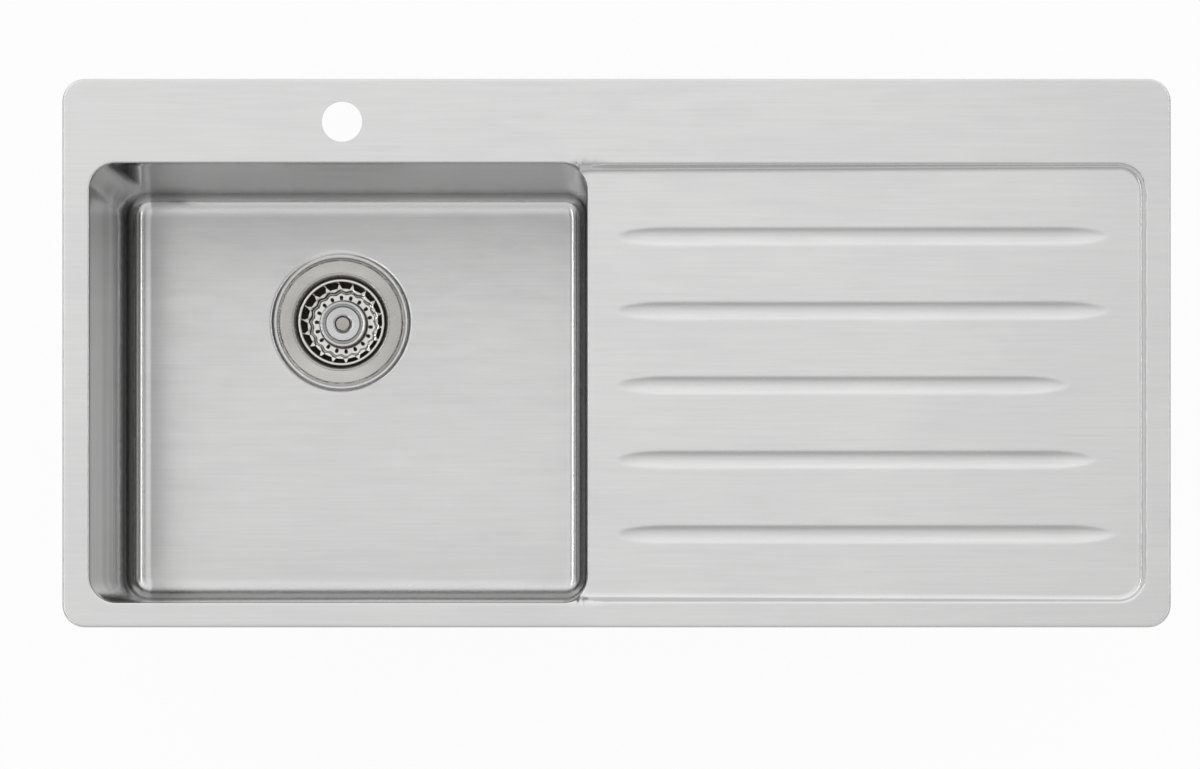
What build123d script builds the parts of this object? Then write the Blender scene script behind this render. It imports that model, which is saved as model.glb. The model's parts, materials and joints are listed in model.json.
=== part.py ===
from build123d import *
import os
from math import asin, cos, degrees, radians, sin, tan

# Kitchen sink with drainboard, in millimetres.
# The origin is the centre of the rim's outline, on the top face of the bench.
# +X runs along the drainboard, +Y to the tap ledge and +Z up.

os.makedirs("parts", exist_ok=True)

# Deck: one pressed sheet with the rim, the bowl's opening and the drainboard
deck_length = 970.0
deck_width = 480.0
deck_corner_radius = 20.0
deck_gauge = 1.0
rim_rise = 4.0  # top of the rim above the bench
rim_bend = 1.0  # inside radius of the turned-down edge
lip_bend = 1.0  # inside radius round the bowl's opening
lip_depth = 14.0  # from the rim's top to the weld on the bowl
tap_hole_radius = 17.5
tap_from_back = 37.7
tap_from_left = 244.9

# Bowl: one drawn shell welded under the opening
bowl_length = 435.0
bowl_corner_radius = 23.0
bowl_left_ledge = 24.0
bowl_back_ledge = 74.0
bowl_front_ledge = 22.0
bowl_depth = 200.0  # from the rim's top to the floor
bowl_gauge = 1.0
bowl_draft = 0.6  # degrees
bowl_floor_radius = 19.0
waste_from_back = 120.0
waste_left_of_middle = 17.3
waste_hole_radius = 45.0
seat_clearance = 2.0  # between the waste flange and the foot of its pressed seat
seat_depth = 3.0
seat_slope = 45.0  # degrees from level
seat_mouth_bend = 4.0
seat_root_bend = 1.5

# Drainboard: a sunken field that falls towards the bowl, with fading grooves
board_right_ledge = 22.0
board_depth = 7.5  # below the rim, at the bowl's edge
board_fall = 0.35  # degrees
board_slope = 52.0  # of its bank, degrees from level
board_corner_radius = 24.0
board_shoulder_bend = 2.0
board_floor_bend = 6.0
groove_back_gap = 63.0  # first groove from the board's back edge
groove_pitch = 65.3
groove_start_gap = 27.0  # from the bowl's edge
groove_end_gaps = (33.0, 33.0, 68.0, 45.0, 28.0)  # from the board's right edge
groove_depth = 2.4
groove_radius = 13.0
groove_fade = 42.0
groove_shoulder_bend = 4.0

# Seal strip and fixing rails under the rim
seal_width = 7.5
seal_inset = 2.2
rail_inset = 10.3
rail_width = 9.5
rail_height = 10.0
rail_gauge = 1.0
rail_corner_gap = 35.0  # from the deck's ends to the long rails
side_rail_gap = 50.0  # from the deck's front and back to the short rails
tap_clear_width = 100.0  # free of rails, for the tap's nut
clip_end_gap = 50.0  # from the long rails' ends to their outer clips

# Clips: a screw that hangs in the rail and a claw that climbs on it
screw_radius = 2.5
screw_head_radius = 3.5
screw_head_height = 2.4
screw_length = 53.0  # below the rail
screw_collar_radius = 3.6
screw_collar_height = 1.5
screw_drive_length = 4.0
screw_drive_radius = 2.3
claw_hub_radius = 4.4
claw_hub_height = 10.0
claw_reach = 30.0
claw_width = 8.0
claw_thickness = 4.0
claw_slope_rise = 2.0
claw_tip_rise = 12.0
claw_tooth = 2.5

# Damping pads on the bowl and stiffeners under the drainboard
pad_thickness = 2.0
pad_height = 90.0
pad_long = 300.0
pad_short = 260.0
pad_drop = 118.0  # from the rim's top to the pads' middle
pad_corner_radius = 8.0
floor_pad_length = 130.0
floor_pad_left_length = 80.0
floor_pad_width = 300.0
floor_pad_gap = 16.0
stiffener_height = 15.0
stiffener_crown = 16.0
stiffener_flange = 9.0
stiffener_gauge = 1.0
stiffener_bend = 2.0
stiffener_length = 360.0

# Basket waste
flange_radius = 61.0
flange_skirt = 1.7
flange_shoulder = 3.0
cup_gauge = 1.0
cup_radius = 43.2
cup_toe_radius = 41.0
cup_dish = 1.5  # fall of the cup's floor to its outlet
cup_seat_radius = 27.0
outlet_radius = 19.5
neck_radius = 23.9
neck_length = 22.0
gasket_thickness = 1.0
gasket_inset = 2.0  # from the flange's rim
under_gasket_thickness = 2.0
friction_ring_thickness = 1.0
lock_nut_height = 14.0
lock_nut_radius = 54.0
lock_nut_lugs = 8
lock_nut_lug_width = 14.0
lock_nut_lug_reach = 60.0
thread_spare = 2.0
cross_drop = 8.0
cross_height = 4.0
cross_arm_width = 3.0
cross_hub_radius = 7.0
tail_washer_thickness = 2.0
tail_radius = 20.0
tail_wall = 2.0
tail_flange_radius = 23.2
tail_flange_height = 2.5
tail_root_radius = 20.8
tail_root_height = 6.0
tail_length = 70.0
coupling_radius = 30.5
coupling_sides = 8
coupling_lap = 14.0
coupling_lip = 3.0

# Basket with its knob and plug
basket_radius = 41.0
basket_gauge = 0.8
basket_rim_drop = 5.0  # below the waste flange
basket_rim_roll = 2.2
basket_depth = 30.0
basket_wall_radius = 39.2
basket_waist_radius = 32.8
basket_waist_rise = 5.0
basket_floor_radius = 29.5
basket_slots = 18
basket_turn = 15.0  # degrees to the first bar
bar_width = 2.6
slot_outer_radius = 38.6
slot_inner_radius = 33.8
drain_hole_circle = 26.0
drain_hole_radius = 1.8
knob_drop = 20.0  # below the waste flange
knob_radius = 21.5
knob_foot_radius = 15.0
knob_foot_rise = 2.0
knob_waist_rise = 5.5
knob_crest_radius = 19.6
knob_groove_radius = 17.6
knob_groove_depth = 2.2
knob_disc_radius = 16.0
knob_disc_drop = 0.5
knob_edge = 0.8
rivet_head_radius = 7.85
rivet_head_height = 1.4
rivet_head_bevel = 0.6
stem_radius = 3.0
stem_reach = 26.0  # below the plug's seat
peen_radius = 3.5
peen_height = 1.0
plug_radius = 24.5
plug_thickness = 4.0
plug_bevel = 1.2
plug_washer_radius = 10.0
plug_washer_thickness = 1.2
catch_radius = 3.7
catch_groove_depth = 0.3
catch_groove_width = 1.2

# Clearances
rest_gap = 0.3  # between a resting piece and its seat
glue_line = 0.1
running_fit = 0.05
thread_gap = 0.1
guide_gap = 0.3
cut_margin = 1.0  # how far a cutting form runs past what it cuts
outline_tolerance = 0.01

# Levels
under_level = rim_rise - deck_gauge
weld_level = rim_rise - lip_depth
floor_level = rim_rise - bowl_depth
seat_level = floor_level - seat_depth
rail_bottom = under_level - rail_height
waste_top = seat_level + gasket_thickness + cup_gauge
basket_top = waste_top - basket_rim_drop
basket_floor = waste_top - basket_depth
plug_top = basket_floor - basket_gauge
plug_bottom = plug_top - plug_thickness
cup_floor = plug_bottom - rest_gap
neck_top = cup_floor - cup_gauge
neck_bottom = neck_top - neck_length
gasket_top = seat_level - bowl_gauge
friction_top = gasket_top - under_gasket_thickness
nut_top = friction_top - friction_ring_thickness
nut_bottom = nut_top - lock_nut_height
tail_top = neck_bottom - tail_washer_thickness
knob_top = waste_top - knob_drop
disc_top = knob_top - knob_disc_drop
stem_end = plug_bottom - stem_reach

# Places in plan
bowl_width = deck_width - bowl_back_ledge - bowl_front_ledge
deck_back = deck_width / 2
deck_left = -deck_length / 2
bowl_x = deck_left + bowl_left_ledge + bowl_length / 2
bowl_y = deck_back - bowl_back_ledge - bowl_width / 2
bowl_right = bowl_x + bowl_length / 2
bowl_back = bowl_y + bowl_width / 2
board_right = deck_length / 2 - board_right_ledge
board_left = bowl_right - bowl_corner_radius - board_corner_radius
board_length = board_right - board_left
board_x = (board_left + board_right) / 2
tap_x = deck_left + tap_from_left
tap_y = deck_back - tap_from_back
waste_x = bowl_x - waste_left_of_middle
waste_y = bowl_back - waste_from_back
waste_plane = Plane(origin=(waste_x, waste_y, 0))
waste_axis = Axis((waste_x, waste_y, 0), (0, 0, 1))
waste_section = Plane(origin=(waste_x, waste_y, 0), x_dir=(1, 0, 0), z_dir=(0, -1, 0))


def bank_shift(depth, slope):
    """How far a sloping bank's edge moves out on a face that lies `depth` under the sheet's."""
    return depth * tan(radians(slope / 2))


def board_plane(depth):
    """Plane of the drainboard's falling floor, `depth` under its wet face."""
    fall = radians(board_fall)
    up = Vector(-sin(fall), 0, cos(fall))
    foot = Vector(bowl_right, bowl_y, rim_rise - board_depth)
    return Plane(origin=foot - up * depth, x_dir=(cos(fall), 0, sin(fall)), z_dir=up)


def stands_over(edge, outline):
    """Whether the edge's middle lies straight over or under a level outline."""
    middle = edge @ 0.5
    foot = Vertex(middle.X, middle.Y, outline.center().Z)
    return outline.distance_to(foot) < outline_tolerance


# ---------------------------------------------------------------- deck


def board_form(depth):
    """The drainboard's hollow, down to the face `depth` under the sheet's wet face."""
    grow = bank_shift(depth, board_slope)
    with BuildPart() as form:
        with BuildSketch(Plane.XY.offset(rim_rise - depth)):
            with Locations((board_x, bowl_y)):
                RectangleRounded(
                    board_length + 2 * grow,
                    bowl_width + 2 * grow,
                    board_corner_radius + grow,
                )
        extrude(amount=-lip_depth, taper=90 - board_slope)
        split(bisect_by=board_plane(depth), keep=Keep.TOP)
        floor_edges = form.faces().sort_by(Axis.Z)[0].edges()
        fillet(floor_edges, board_floor_bend + depth)
    return form.part


def groove_form(index, depth):
    """A round groove that rises out of the board's floor along a wide arc at each end."""
    floor_plane = board_plane(0)
    across = bowl_back - groove_back_gap - index * groove_pitch
    start = groove_start_gap + groove_fade
    run = board_right - groove_end_gaps[index] - bowl_right - groove_fade - start
    rise_radius = (groove_fade**2 + groove_depth**2) / (2 * groove_depth)
    arc_radius = rise_radius - groove_radius
    sweep_angle = degrees(asin((groove_fade + groove_radius) / rise_radius))
    origin = floor_plane.from_local_coords(
        Vector(start, across - bowl_y, groove_radius - groove_depth)
    )
    side = Plane(origin=origin, x_dir=floor_plane.x_dir, z_dir=(0, -1, 0))
    with BuildPart() as form:
        with BuildLine(side) as path:
            CenterArc((0, arc_radius), arc_radius, 270 - sweep_angle, sweep_angle)
            Line((0, 0), (run, 0))
            CenterArc((run, arc_radius), arc_radius, 270, sweep_angle)
        with BuildSketch(Plane(origin=path.line @ 0, z_dir=path.line % 0)):
            Circle(groove_radius + depth)
        sweep(path=path.line)
    return form.part


def deck_form(depth):
    """Everything under the face that lies `depth` under the sheet's wet face."""
    hollow = board_form(depth)
    grooves = [groove_form(index, depth) for index in range(len(groove_end_gaps))]
    floor_plane = board_plane(depth)
    top_level = rim_rise - depth
    with BuildPart() as form:
        with BuildSketch(Plane.XY.offset(top_level)):
            RectangleRounded(
                deck_length - 2 * depth, deck_width - 2 * depth, deck_corner_radius - depth
            )
        extrude(amount=-lip_depth - cut_margin * (depth > 0))
        rim_edges = form.faces().sort_by(Axis.Z)[-1].edges()
        fillet(rim_edges, rim_bend + deck_gauge - depth)
        add(hollow, mode=Mode.SUBTRACT)
        board_outline = form.faces().filter_by(Plane.XY).sort_by(Axis.Z)[-1].inner_wires()[0]
        fillet(board_outline.edges(), board_shoulder_bend + deck_gauge - depth)
        add(grooves, mode=Mode.SUBTRACT)
        board_floor = form.faces().filter_by(floor_plane).sort_by(SortBy.AREA)[-1]
        groove_edges = [edge for wire in board_floor.inner_wires() for edge in wire.edges()]
        fillet(groove_edges, groove_shoulder_bend + deck_gauge - depth)
        with BuildSketch(Plane.XY.offset(top_level)) as opening:
            with Locations((bowl_x, bowl_y)):
                RectangleRounded(
                    bowl_length + 2 * depth, bowl_width + 2 * depth, bowl_corner_radius + depth
                )
        extrude(amount=-lip_depth - 2 * cut_margin, mode=Mode.SUBTRACT)
        outline = opening.sketch.wires()[0]
        wall_edges = form.edges(Select.LAST).filter_by(Axis.Z, reverse=True)
        wall_edges = wall_edges.filter_by(lambda edge: stands_over(edge, outline))
        fillet(wall_edges - wall_edges.group_by(Axis.Z)[0], lip_bend + deck_gauge - depth)
    return form.part


with BuildPart() as deck:
    add(deck_form(0))
    add(deck_form(deck_gauge), mode=Mode.SUBTRACT)
    with BuildSketch(Plane.XY):
        RectangleRounded(
            deck_length + 2 * cut_margin,
            deck_width + 2 * cut_margin,
            deck_corner_radius + cut_margin,
        )
        RectangleRounded(
            deck_length - 2 * (deck_gauge + cut_margin),
            deck_width - 2 * (deck_gauge + cut_margin),
            deck_corner_radius - deck_gauge - cut_margin,
            mode=Mode.SUBTRACT,
        )
    extrude(amount=-lip_depth, mode=Mode.SUBTRACT)
    with Locations((tap_x, tap_y, rim_rise)):
        Hole(tap_hole_radius, deck_gauge + cut_margin)
deck.part.label = "deck"
export_step(deck.part, "parts/deck.step")

with BuildPart() as rim_seal:
    with BuildSketch(Plane.XY):
        RectangleRounded(
            deck_length - 2 * seal_inset, deck_width - 2 * seal_inset, deck_corner_radius - seal_inset
        )
        RectangleRounded(
            deck_length - 2 * (seal_inset + seal_width),
            deck_width - 2 * (seal_inset + seal_width),
            deck_corner_radius - seal_inset - seal_width,
            mode=Mode.SUBTRACT,
        )
    extrude(amount=under_level)
rim_seal.part.label = "rim_seal"
export_step(rim_seal.part, "parts/rim_seal.step")


# ---------------------------------------------------------------- bowl


def bowl_form(depth):
    """The bowl's hollow, grown to the face `depth` outside its wet face."""
    seat_foot = flange_radius + seat_clearance
    seat_mouth = seat_foot + seat_depth / tan(radians(seat_slope))
    with BuildPart() as form:
        with BuildSketch(Plane.XY.offset(weld_level)):
            with Locations((bowl_x, bowl_y)):
                RectangleRounded(
                    bowl_length + 2 * depth, bowl_width + 2 * depth, bowl_corner_radius + depth
                )
        extrude(amount=floor_level - depth - weld_level, taper=bowl_draft)
        floor_edges = form.faces().sort_by(Axis.Z)[0].edges()
        with BuildSketch(waste_plane.offset(floor_level - depth)):
            Circle(seat_mouth + bank_shift(depth, seat_slope))
        extrude(amount=-seat_depth, taper=90 - seat_slope)
        seat_edges = form.edges().filter_by(lambda edge: edge.is_closed).sort_by(Axis.Z)
        fillet(seat_edges[-1], seat_mouth_bend + bowl_gauge - depth)
        fillet(seat_edges[0], seat_root_bend + depth)
        fillet(floor_edges, bowl_floor_radius + depth)
    return form.part


with BuildPart() as bowl:
    add(bowl_form(bowl_gauge))
    add(bowl_form(0), mode=Mode.SUBTRACT)
    with Locations((waste_x, waste_y, seat_level)):
        Hole(waste_hole_radius, bowl_gauge + cut_margin)
bowl.part.label = "bowl"
export_step(bowl.part, "parts/bowl.step")


def wall_plane(heading, half_size):
    """Plane on the bowl's outer wall at the pads' middle, facing out along `heading` degrees."""
    draft = radians(bowl_draft)
    pad_level = rim_rise - pad_drop
    out = Vector(1, 0, 0).rotate(Axis.Z, heading)
    reach = half_size + bowl_gauge - (weld_level - pad_level) * tan(draft)
    return Plane(
        origin=Vector(bowl_x, bowl_y, pad_level) + out * reach,
        x_dir=out.cross(Vector(0, 0, 1)),
        z_dir=out * cos(draft) - Vector(0, 0, sin(draft)),
    )


wall_pads = {
    "pad_right": (0, bowl_length / 2, pad_short),
    "pad_back": (90, bowl_width / 2, pad_long),
    "pad_left": (180, bowl_length / 2, pad_short),
    "pad_front": (270, bowl_width / 2, pad_long),
}
for name, (heading, half_size, length) in wall_pads.items():
    with BuildPart() as wall_pad:
        with BuildSketch(wall_plane(heading, half_size).offset(glue_line)):
            RectangleRounded(length, pad_height, pad_corner_radius)
        extrude(amount=pad_thickness)
    wall_pad.part.label = name
    export_step(wall_pad.part, f"parts/{name}.step")

floor_pads = {
    "pad_floor_right": (1, floor_pad_length),
    "pad_floor_left": (-1, floor_pad_left_length),
}
for name, (side, length) in floor_pads.items():
    reach = lock_nut_lug_reach + floor_pad_gap + length / 2
    with BuildPart() as floor_pad:
        with BuildSketch(Plane.XY.offset(floor_level - bowl_gauge - glue_line)):
            with Locations((waste_x + side * reach, bowl_y)):
                RectangleRounded(length, floor_pad_width, pad_corner_radius)
        extrude(amount=-pad_thickness)
    floor_pad.part.label = name
    export_step(floor_pad.part, f"parts/{name}.step")


# ---------------------------------------------------------------- drainboard stiffeners

under_board = board_plane(deck_gauge + glue_line)
crown_half = stiffener_crown / 2
hat_half = crown_half + stiffener_flange
hat_top = -stiffener_gauge / 2
hat_bottom = stiffener_gauge / 2 - stiffener_height
stiffeners = {"stiffener_back": 0, "stiffener_front": len(groove_end_gaps) - 2}
for name, groove in stiffeners.items():
    between = bowl_back - groove_back_gap - (groove + 0.5) * groove_pitch - bowl_y
    start = groove_start_gap + groove_fade
    origin = under_board.from_local_coords(Vector(start, between, 0))
    with BuildPart() as stiffener:
        with BuildSketch(Plane(origin=origin, x_dir=under_board.y_dir, z_dir=under_board.x_dir)):
            with BuildLine():
                FilletPolyline(
                    (-hat_half, hat_top),
                    (-crown_half, hat_top),
                    (-crown_half, hat_bottom),
                    (crown_half, hat_bottom),
                    (crown_half, hat_top),
                    (hat_half, hat_top),
                    radius=stiffener_bend,
                )
            trace(line_width=stiffener_gauge)
        extrude(amount=stiffener_length)
    stiffener.part.label = name
    export_step(stiffener.part, f"parts/{name}.step")


# ---------------------------------------------------------------- rails and clips

# Each ledge has a plane at the middle of its edge: x runs along it, y inwards and z up.
ledges = {
    "front": Plane(origin=(0, -deck_width / 2, 0), x_dir=(1, 0, 0)),
    "right": Plane(origin=(deck_length / 2, 0, 0), x_dir=(0, 1, 0)),
    "back": Plane(origin=(0, deck_width / 2, 0), x_dir=(-1, 0, 0)),
    "left": Plane(origin=(-deck_length / 2, 0, 0), x_dir=(0, -1, 0)),
}
long_end = deck_length / 2 - rail_corner_gap
short_end = deck_width / 2 - side_rail_gap
tap_side_a = -tap_x - tap_clear_width / 2
tap_side_b = -tap_x + tap_clear_width / 2
outer_clip = long_end - clip_end_gap
rails = {
    "rail_front": ("front", -long_end, long_end, (-outer_clip, 0, outer_clip)),
    "rail_right": ("right", -short_end, short_end, (0,)),
    "rail_back_right": ("back", -long_end, tap_side_a, (-outer_clip, 0)),
    "rail_back_left": ("back", tap_side_b, long_end, (outer_clip,)),
    "rail_left": ("left", -short_end, short_end, (0,)),
}
screw_inset = rail_inset + (rail_width - rail_gauge) / 2
stations = []
for name, (ledge, start, end, screws) in rails.items():
    ledge_plane = ledges[ledge]
    places = [(along, screw_inset) for along in screws]
    stations += [
        Plane(origin=ledge_plane.from_local_coords(Vector(along, inset, 0)), x_dir=ledge_plane.x_dir)
        for along, inset in places
    ]
    origin = ledge_plane.from_local_coords(Vector(start, 0, 0))
    web = rail_inset + rail_width - rail_gauge / 2
    with BuildPart() as rail:
        with BuildSketch(Plane(origin=origin, x_dir=ledge_plane.y_dir, z_dir=ledge_plane.x_dir)):
            with BuildLine():
                Polyline(
                    (rail_inset, under_level - rail_gauge / 2),
                    (web, under_level - rail_gauge / 2),
                    (web, rail_bottom + rail_gauge / 2),
                    (rail_inset, rail_bottom + rail_gauge / 2),
                )
            trace(line_width=rail_gauge)
        extrude(amount=end - start)
        with BuildSketch(ledge_plane.offset(rail_bottom)):
            with Locations(*places):
                Circle(screw_radius + running_fit)
        extrude(amount=rail_gauge, mode=Mode.SUBTRACT)
    rail.part.label = name
    export_step(rail.part, f"parts/{name}.step")

head_bottom = rail_bottom + rail_gauge + rest_gap
screw_end = rail_bottom - screw_length
collar_bottom = screw_end + screw_drive_length
collar_top = collar_bottom + screw_collar_height
claw_bottom = collar_top + rest_gap
claw_tip = claw_bottom + claw_tip_rise
for number, station in enumerate(stations, start=1):
    with BuildPart() as screw:
        with BuildSketch(station.offset(head_bottom)):
            Circle(screw_head_radius)
        extrude(amount=screw_head_height)
        with BuildSketch(station.offset(collar_top)):
            Circle(screw_radius)
        extrude(amount=head_bottom - collar_top)
        with BuildSketch(station.offset(collar_bottom)):
            Circle(screw_collar_radius)
        extrude(amount=screw_collar_height)
        with BuildSketch(station.offset(screw_end)):
            RegularPolygon(screw_drive_radius, 6)
        extrude(amount=screw_drive_length)
    screw.part.label = f"screw_{number}"
    export_step(screw.part, f"parts/screw_{number}.step")

    with BuildPart() as claw:
        with BuildSketch(Plane(origin=station.origin, x_dir=station.x_dir, z_dir=-station.y_dir)):
            with BuildLine():
                Polyline(
                    (0, claw_bottom),
                    (-claw_hub_radius, claw_bottom),
                    (-claw_reach + 2 * claw_tooth, claw_bottom + claw_slope_rise),
                    (-claw_reach, claw_bottom + claw_slope_rise),
                    (-claw_reach, claw_tip),
                    (-claw_reach + claw_tooth, claw_tip - claw_tooth),
                    (-claw_reach + claw_tooth, claw_tip),
                    (-claw_reach + 2 * claw_tooth, claw_tip - claw_tooth),
                    (-claw_reach + 2 * claw_tooth, claw_bottom + claw_slope_rise + claw_thickness),
                    (0, claw_bottom + claw_thickness),
                    close=True,
                )
            make_face()
        extrude(amount=claw_width / 2, both=True)
        with BuildSketch(station.offset(claw_bottom)):
            Circle(claw_hub_radius)
        extrude(amount=claw_hub_height)
        with BuildSketch(station.offset(claw_bottom)):
            Circle(screw_radius + running_fit)
        extrude(amount=claw_hub_height, mode=Mode.SUBTRACT)
    claw.part.label = f"claw_{number}"
    export_step(claw.part, f"parts/claw_{number}.step")


# ---------------------------------------------------------------- basket waste

half = cup_gauge / 2
with BuildPart() as waste_body:
    with BuildSketch(waste_section):
        with BuildLine():
            FilletPolyline(
                (flange_radius - half, waste_top - flange_skirt),
                (flange_radius - half, waste_top - half),
                (cup_radius + half, waste_top - half),
                (cup_radius + half, nut_bottom - thread_spare),
                (cup_toe_radius, cup_floor + cup_dish - half),
                (cup_seat_radius, cup_floor - half),
                (outlet_radius, cup_floor - half),
                radius=(0, flange_shoulder, 0, 0, 0),
            )
        trace(line_width=cup_gauge)
    revolve(axis=waste_axis)
waste_body.part.label = "waste_body"
export_step(waste_body.part, "parts/waste_body.step")

with BuildPart() as flange_gasket:
    with BuildSketch(waste_plane.offset(seat_level)):
        Circle(flange_radius - gasket_inset)
        Circle(waste_hole_radius + flange_shoulder, mode=Mode.SUBTRACT)
    extrude(amount=gasket_thickness)
flange_gasket.part.label = "flange_gasket"
export_step(flange_gasket.part, "parts/flange_gasket.step")

with BuildPart() as under_gasket:
    with BuildSketch(waste_plane.offset(friction_top)):
        Circle(lock_nut_lug_reach)
        Circle(waste_hole_radius, mode=Mode.SUBTRACT)
    extrude(amount=under_gasket_thickness)
under_gasket.part.label = "under_gasket"
export_step(under_gasket.part, "parts/under_gasket.step")

with BuildPart() as friction_ring:
    with BuildSketch(waste_plane.offset(nut_top)):
        Circle(lock_nut_radius)
        Circle(waste_hole_radius, mode=Mode.SUBTRACT)
    extrude(amount=friction_ring_thickness)
friction_ring.part.label = "friction_ring"
export_step(friction_ring.part, "parts/friction_ring.step")

with BuildPart() as lock_nut:
    with BuildSketch(waste_plane.offset(nut_bottom)):
        Circle(lock_nut_radius)
        with PolarLocations(lock_nut_lug_reach / 2, lock_nut_lugs):
            Rectangle(lock_nut_lug_reach, lock_nut_lug_width)
        Circle(cup_radius + cup_gauge + thread_gap, mode=Mode.SUBTRACT)
    extrude(amount=lock_nut_height)
lock_nut.part.label = "lock_nut"
export_step(lock_nut.part, "parts/lock_nut.step")

with BuildPart() as outlet_neck:
    with BuildSketch(waste_plane.offset(neck_bottom)):
        Circle(neck_radius)
        Circle(outlet_radius, mode=Mode.SUBTRACT)
    extrude(amount=neck_length)
outlet_neck.part.label = "outlet_neck"
export_step(outlet_neck.part, "parts/outlet_neck.step")

with BuildPart() as outlet_cross:
    with BuildSketch(waste_plane.offset(neck_top - cross_drop - cross_height)):
        with Locations((0, 0, 0)):
            Rectangle(2 * outlet_radius, cross_arm_width, rotation=basket_turn)
            Rectangle(2 * outlet_radius, cross_arm_width, rotation=basket_turn + 90)
        Circle(outlet_radius - thread_gap, mode=Mode.INTERSECT)
        Circle(cross_hub_radius)
        Circle(catch_radius + guide_gap, mode=Mode.SUBTRACT)
    extrude(amount=cross_height)
outlet_cross.part.label = "outlet_cross"
export_step(outlet_cross.part, "parts/outlet_cross.step")

with BuildPart() as tail_washer:
    with BuildSketch(waste_plane.offset(tail_top)):
        Circle(tail_flange_radius)
        Circle(tail_radius - tail_wall, mode=Mode.SUBTRACT)
    extrude(amount=tail_washer_thickness)
tail_washer.part.label = "tail_washer"
export_step(tail_washer.part, "parts/tail_washer.step")

with BuildPart() as outlet_tail:
    with BuildSketch(waste_plane.offset(tail_top)):
        Circle(tail_flange_radius)
    extrude(amount=-tail_flange_height)
    with BuildSketch(waste_plane.offset(tail_top)):
        Circle(tail_root_radius)
    extrude(amount=-tail_flange_height - tail_root_height)
    with BuildSketch(waste_plane.offset(tail_top)):
        Circle(tail_radius)
    extrude(amount=-tail_length)
    with BuildSketch(waste_plane.offset(tail_top)):
        Circle(tail_radius - tail_wall)
    extrude(amount=-tail_length, mode=Mode.SUBTRACT)
outlet_tail.part.label = "outlet_tail"
export_step(outlet_tail.part, "parts/outlet_tail.step")

lip_top = tail_top - tail_flange_height
with BuildPart() as coupling_nut:
    with BuildSketch(waste_plane.offset(lip_top - coupling_lip)):
        RegularPolygon(coupling_radius, coupling_sides)
        Circle(tail_root_radius + guide_gap, mode=Mode.SUBTRACT)
    extrude(amount=neck_bottom + coupling_lap - lip_top + coupling_lip)
    with BuildSketch(waste_plane.offset(lip_top)):
        Circle(neck_radius + thread_gap)
    extrude(amount=neck_bottom + coupling_lap - lip_top, mode=Mode.SUBTRACT)
coupling_nut.part.label = "coupling_nut"
export_step(coupling_nut.part, "parts/coupling_nut.step")


# ---------------------------------------------------------------- basket

half = basket_gauge / 2
stem_hole = stem_radius + running_fit
with BuildPart() as basket:
    with BuildSketch(waste_section):
        with BuildLine():
            Polyline(
                (basket_radius - half, basket_top - basket_rim_roll),
                (basket_radius - half, basket_top - half),
                (basket_wall_radius, basket_top - half),
                (basket_waist_radius, basket_floor + basket_waist_rise),
                (basket_floor_radius, basket_floor - half),
                (stem_hole, basket_floor - half),
            )
        trace(line_width=basket_gauge)
    revolve(axis=waste_axis)
    with BuildSketch(waste_plane.offset(plug_top)):
        Circle(slot_outer_radius)
        Circle(slot_inner_radius, mode=Mode.SUBTRACT)
        with PolarLocations((slot_outer_radius + slot_inner_radius) / 2, basket_slots, basket_turn):
            Rectangle(slot_outer_radius, bar_width, mode=Mode.SUBTRACT)
    extrude(amount=basket_depth, mode=Mode.SUBTRACT)
    with BuildSketch(waste_plane.offset(plug_top)):
        with PolarLocations(drain_hole_circle, basket_slots, basket_turn):
            Circle(drain_hole_radius)
    extrude(amount=basket_gauge, mode=Mode.SUBTRACT)
basket.part.label = "basket"
export_step(basket.part, "parts/basket.step")

groove_floor = knob_top - knob_groove_depth
with BuildPart() as knob:
    with BuildSketch(waste_section):
        with BuildLine():
            Polyline(
                (stem_hole, basket_floor),
                (knob_foot_radius, basket_floor),
                (knob_foot_radius, basket_floor + knob_foot_rise),
                (knob_radius, basket_floor + knob_waist_rise),
            )
            Line((knob_radius, basket_floor + knob_waist_rise), (knob_radius, knob_top - knob_edge))
            Polyline(
                (knob_radius, knob_top - knob_edge),
                (knob_radius - knob_edge, knob_top),
                (knob_crest_radius, knob_top),
                (knob_groove_radius, knob_top - knob_edge),
                (knob_groove_radius, groove_floor),
                (knob_disc_radius, groove_floor),
                (knob_disc_radius, disc_top - knob_edge),
                (knob_disc_radius - knob_edge, disc_top),
                (stem_hole, disc_top),
                (stem_hole, basket_floor),
            )
        make_face()
    revolve(axis=waste_axis)
knob.part.label = "knob"
export_step(knob.part, "parts/knob.step")

with BuildPart() as rivet:
    with BuildSketch(waste_plane.offset(disc_top)):
        Circle(rivet_head_radius)
    extrude(amount=rivet_head_height)
    chamfer(rivet.edges().sort_by(Axis.Z)[-1], rivet_head_bevel)
    with BuildSketch(waste_plane.offset(disc_top)):
        Circle(stem_radius)
    extrude(amount=stem_end - disc_top)
    with BuildSketch(waste_plane.offset(stem_end)):
        Circle(peen_radius)
    extrude(amount=-peen_height)
rivet.part.label = "rivet"
export_step(rivet.part, "parts/rivet.step")

with BuildPart() as plug_seal:
    with BuildSketch(waste_plane.offset(plug_bottom)):
        Circle(plug_radius)
        Circle(stem_hole, mode=Mode.SUBTRACT)
    extrude(amount=plug_thickness)
    chamfer(plug_seal.edges().group_by(Axis.Z)[0].sort_by(SortBy.LENGTH)[-1], plug_bevel)
plug_seal.part.label = "plug_seal"
export_step(plug_seal.part, "parts/plug_seal.step")

with BuildPart() as plug_washer:
    with BuildSketch(waste_plane.offset(plug_bottom)):
        Circle(plug_washer_radius)
        Circle(stem_hole, mode=Mode.SUBTRACT)
    extrude(amount=-plug_washer_thickness)
plug_washer.part.label = "plug_washer"
export_step(plug_washer.part, "parts/plug_washer.step")

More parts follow.
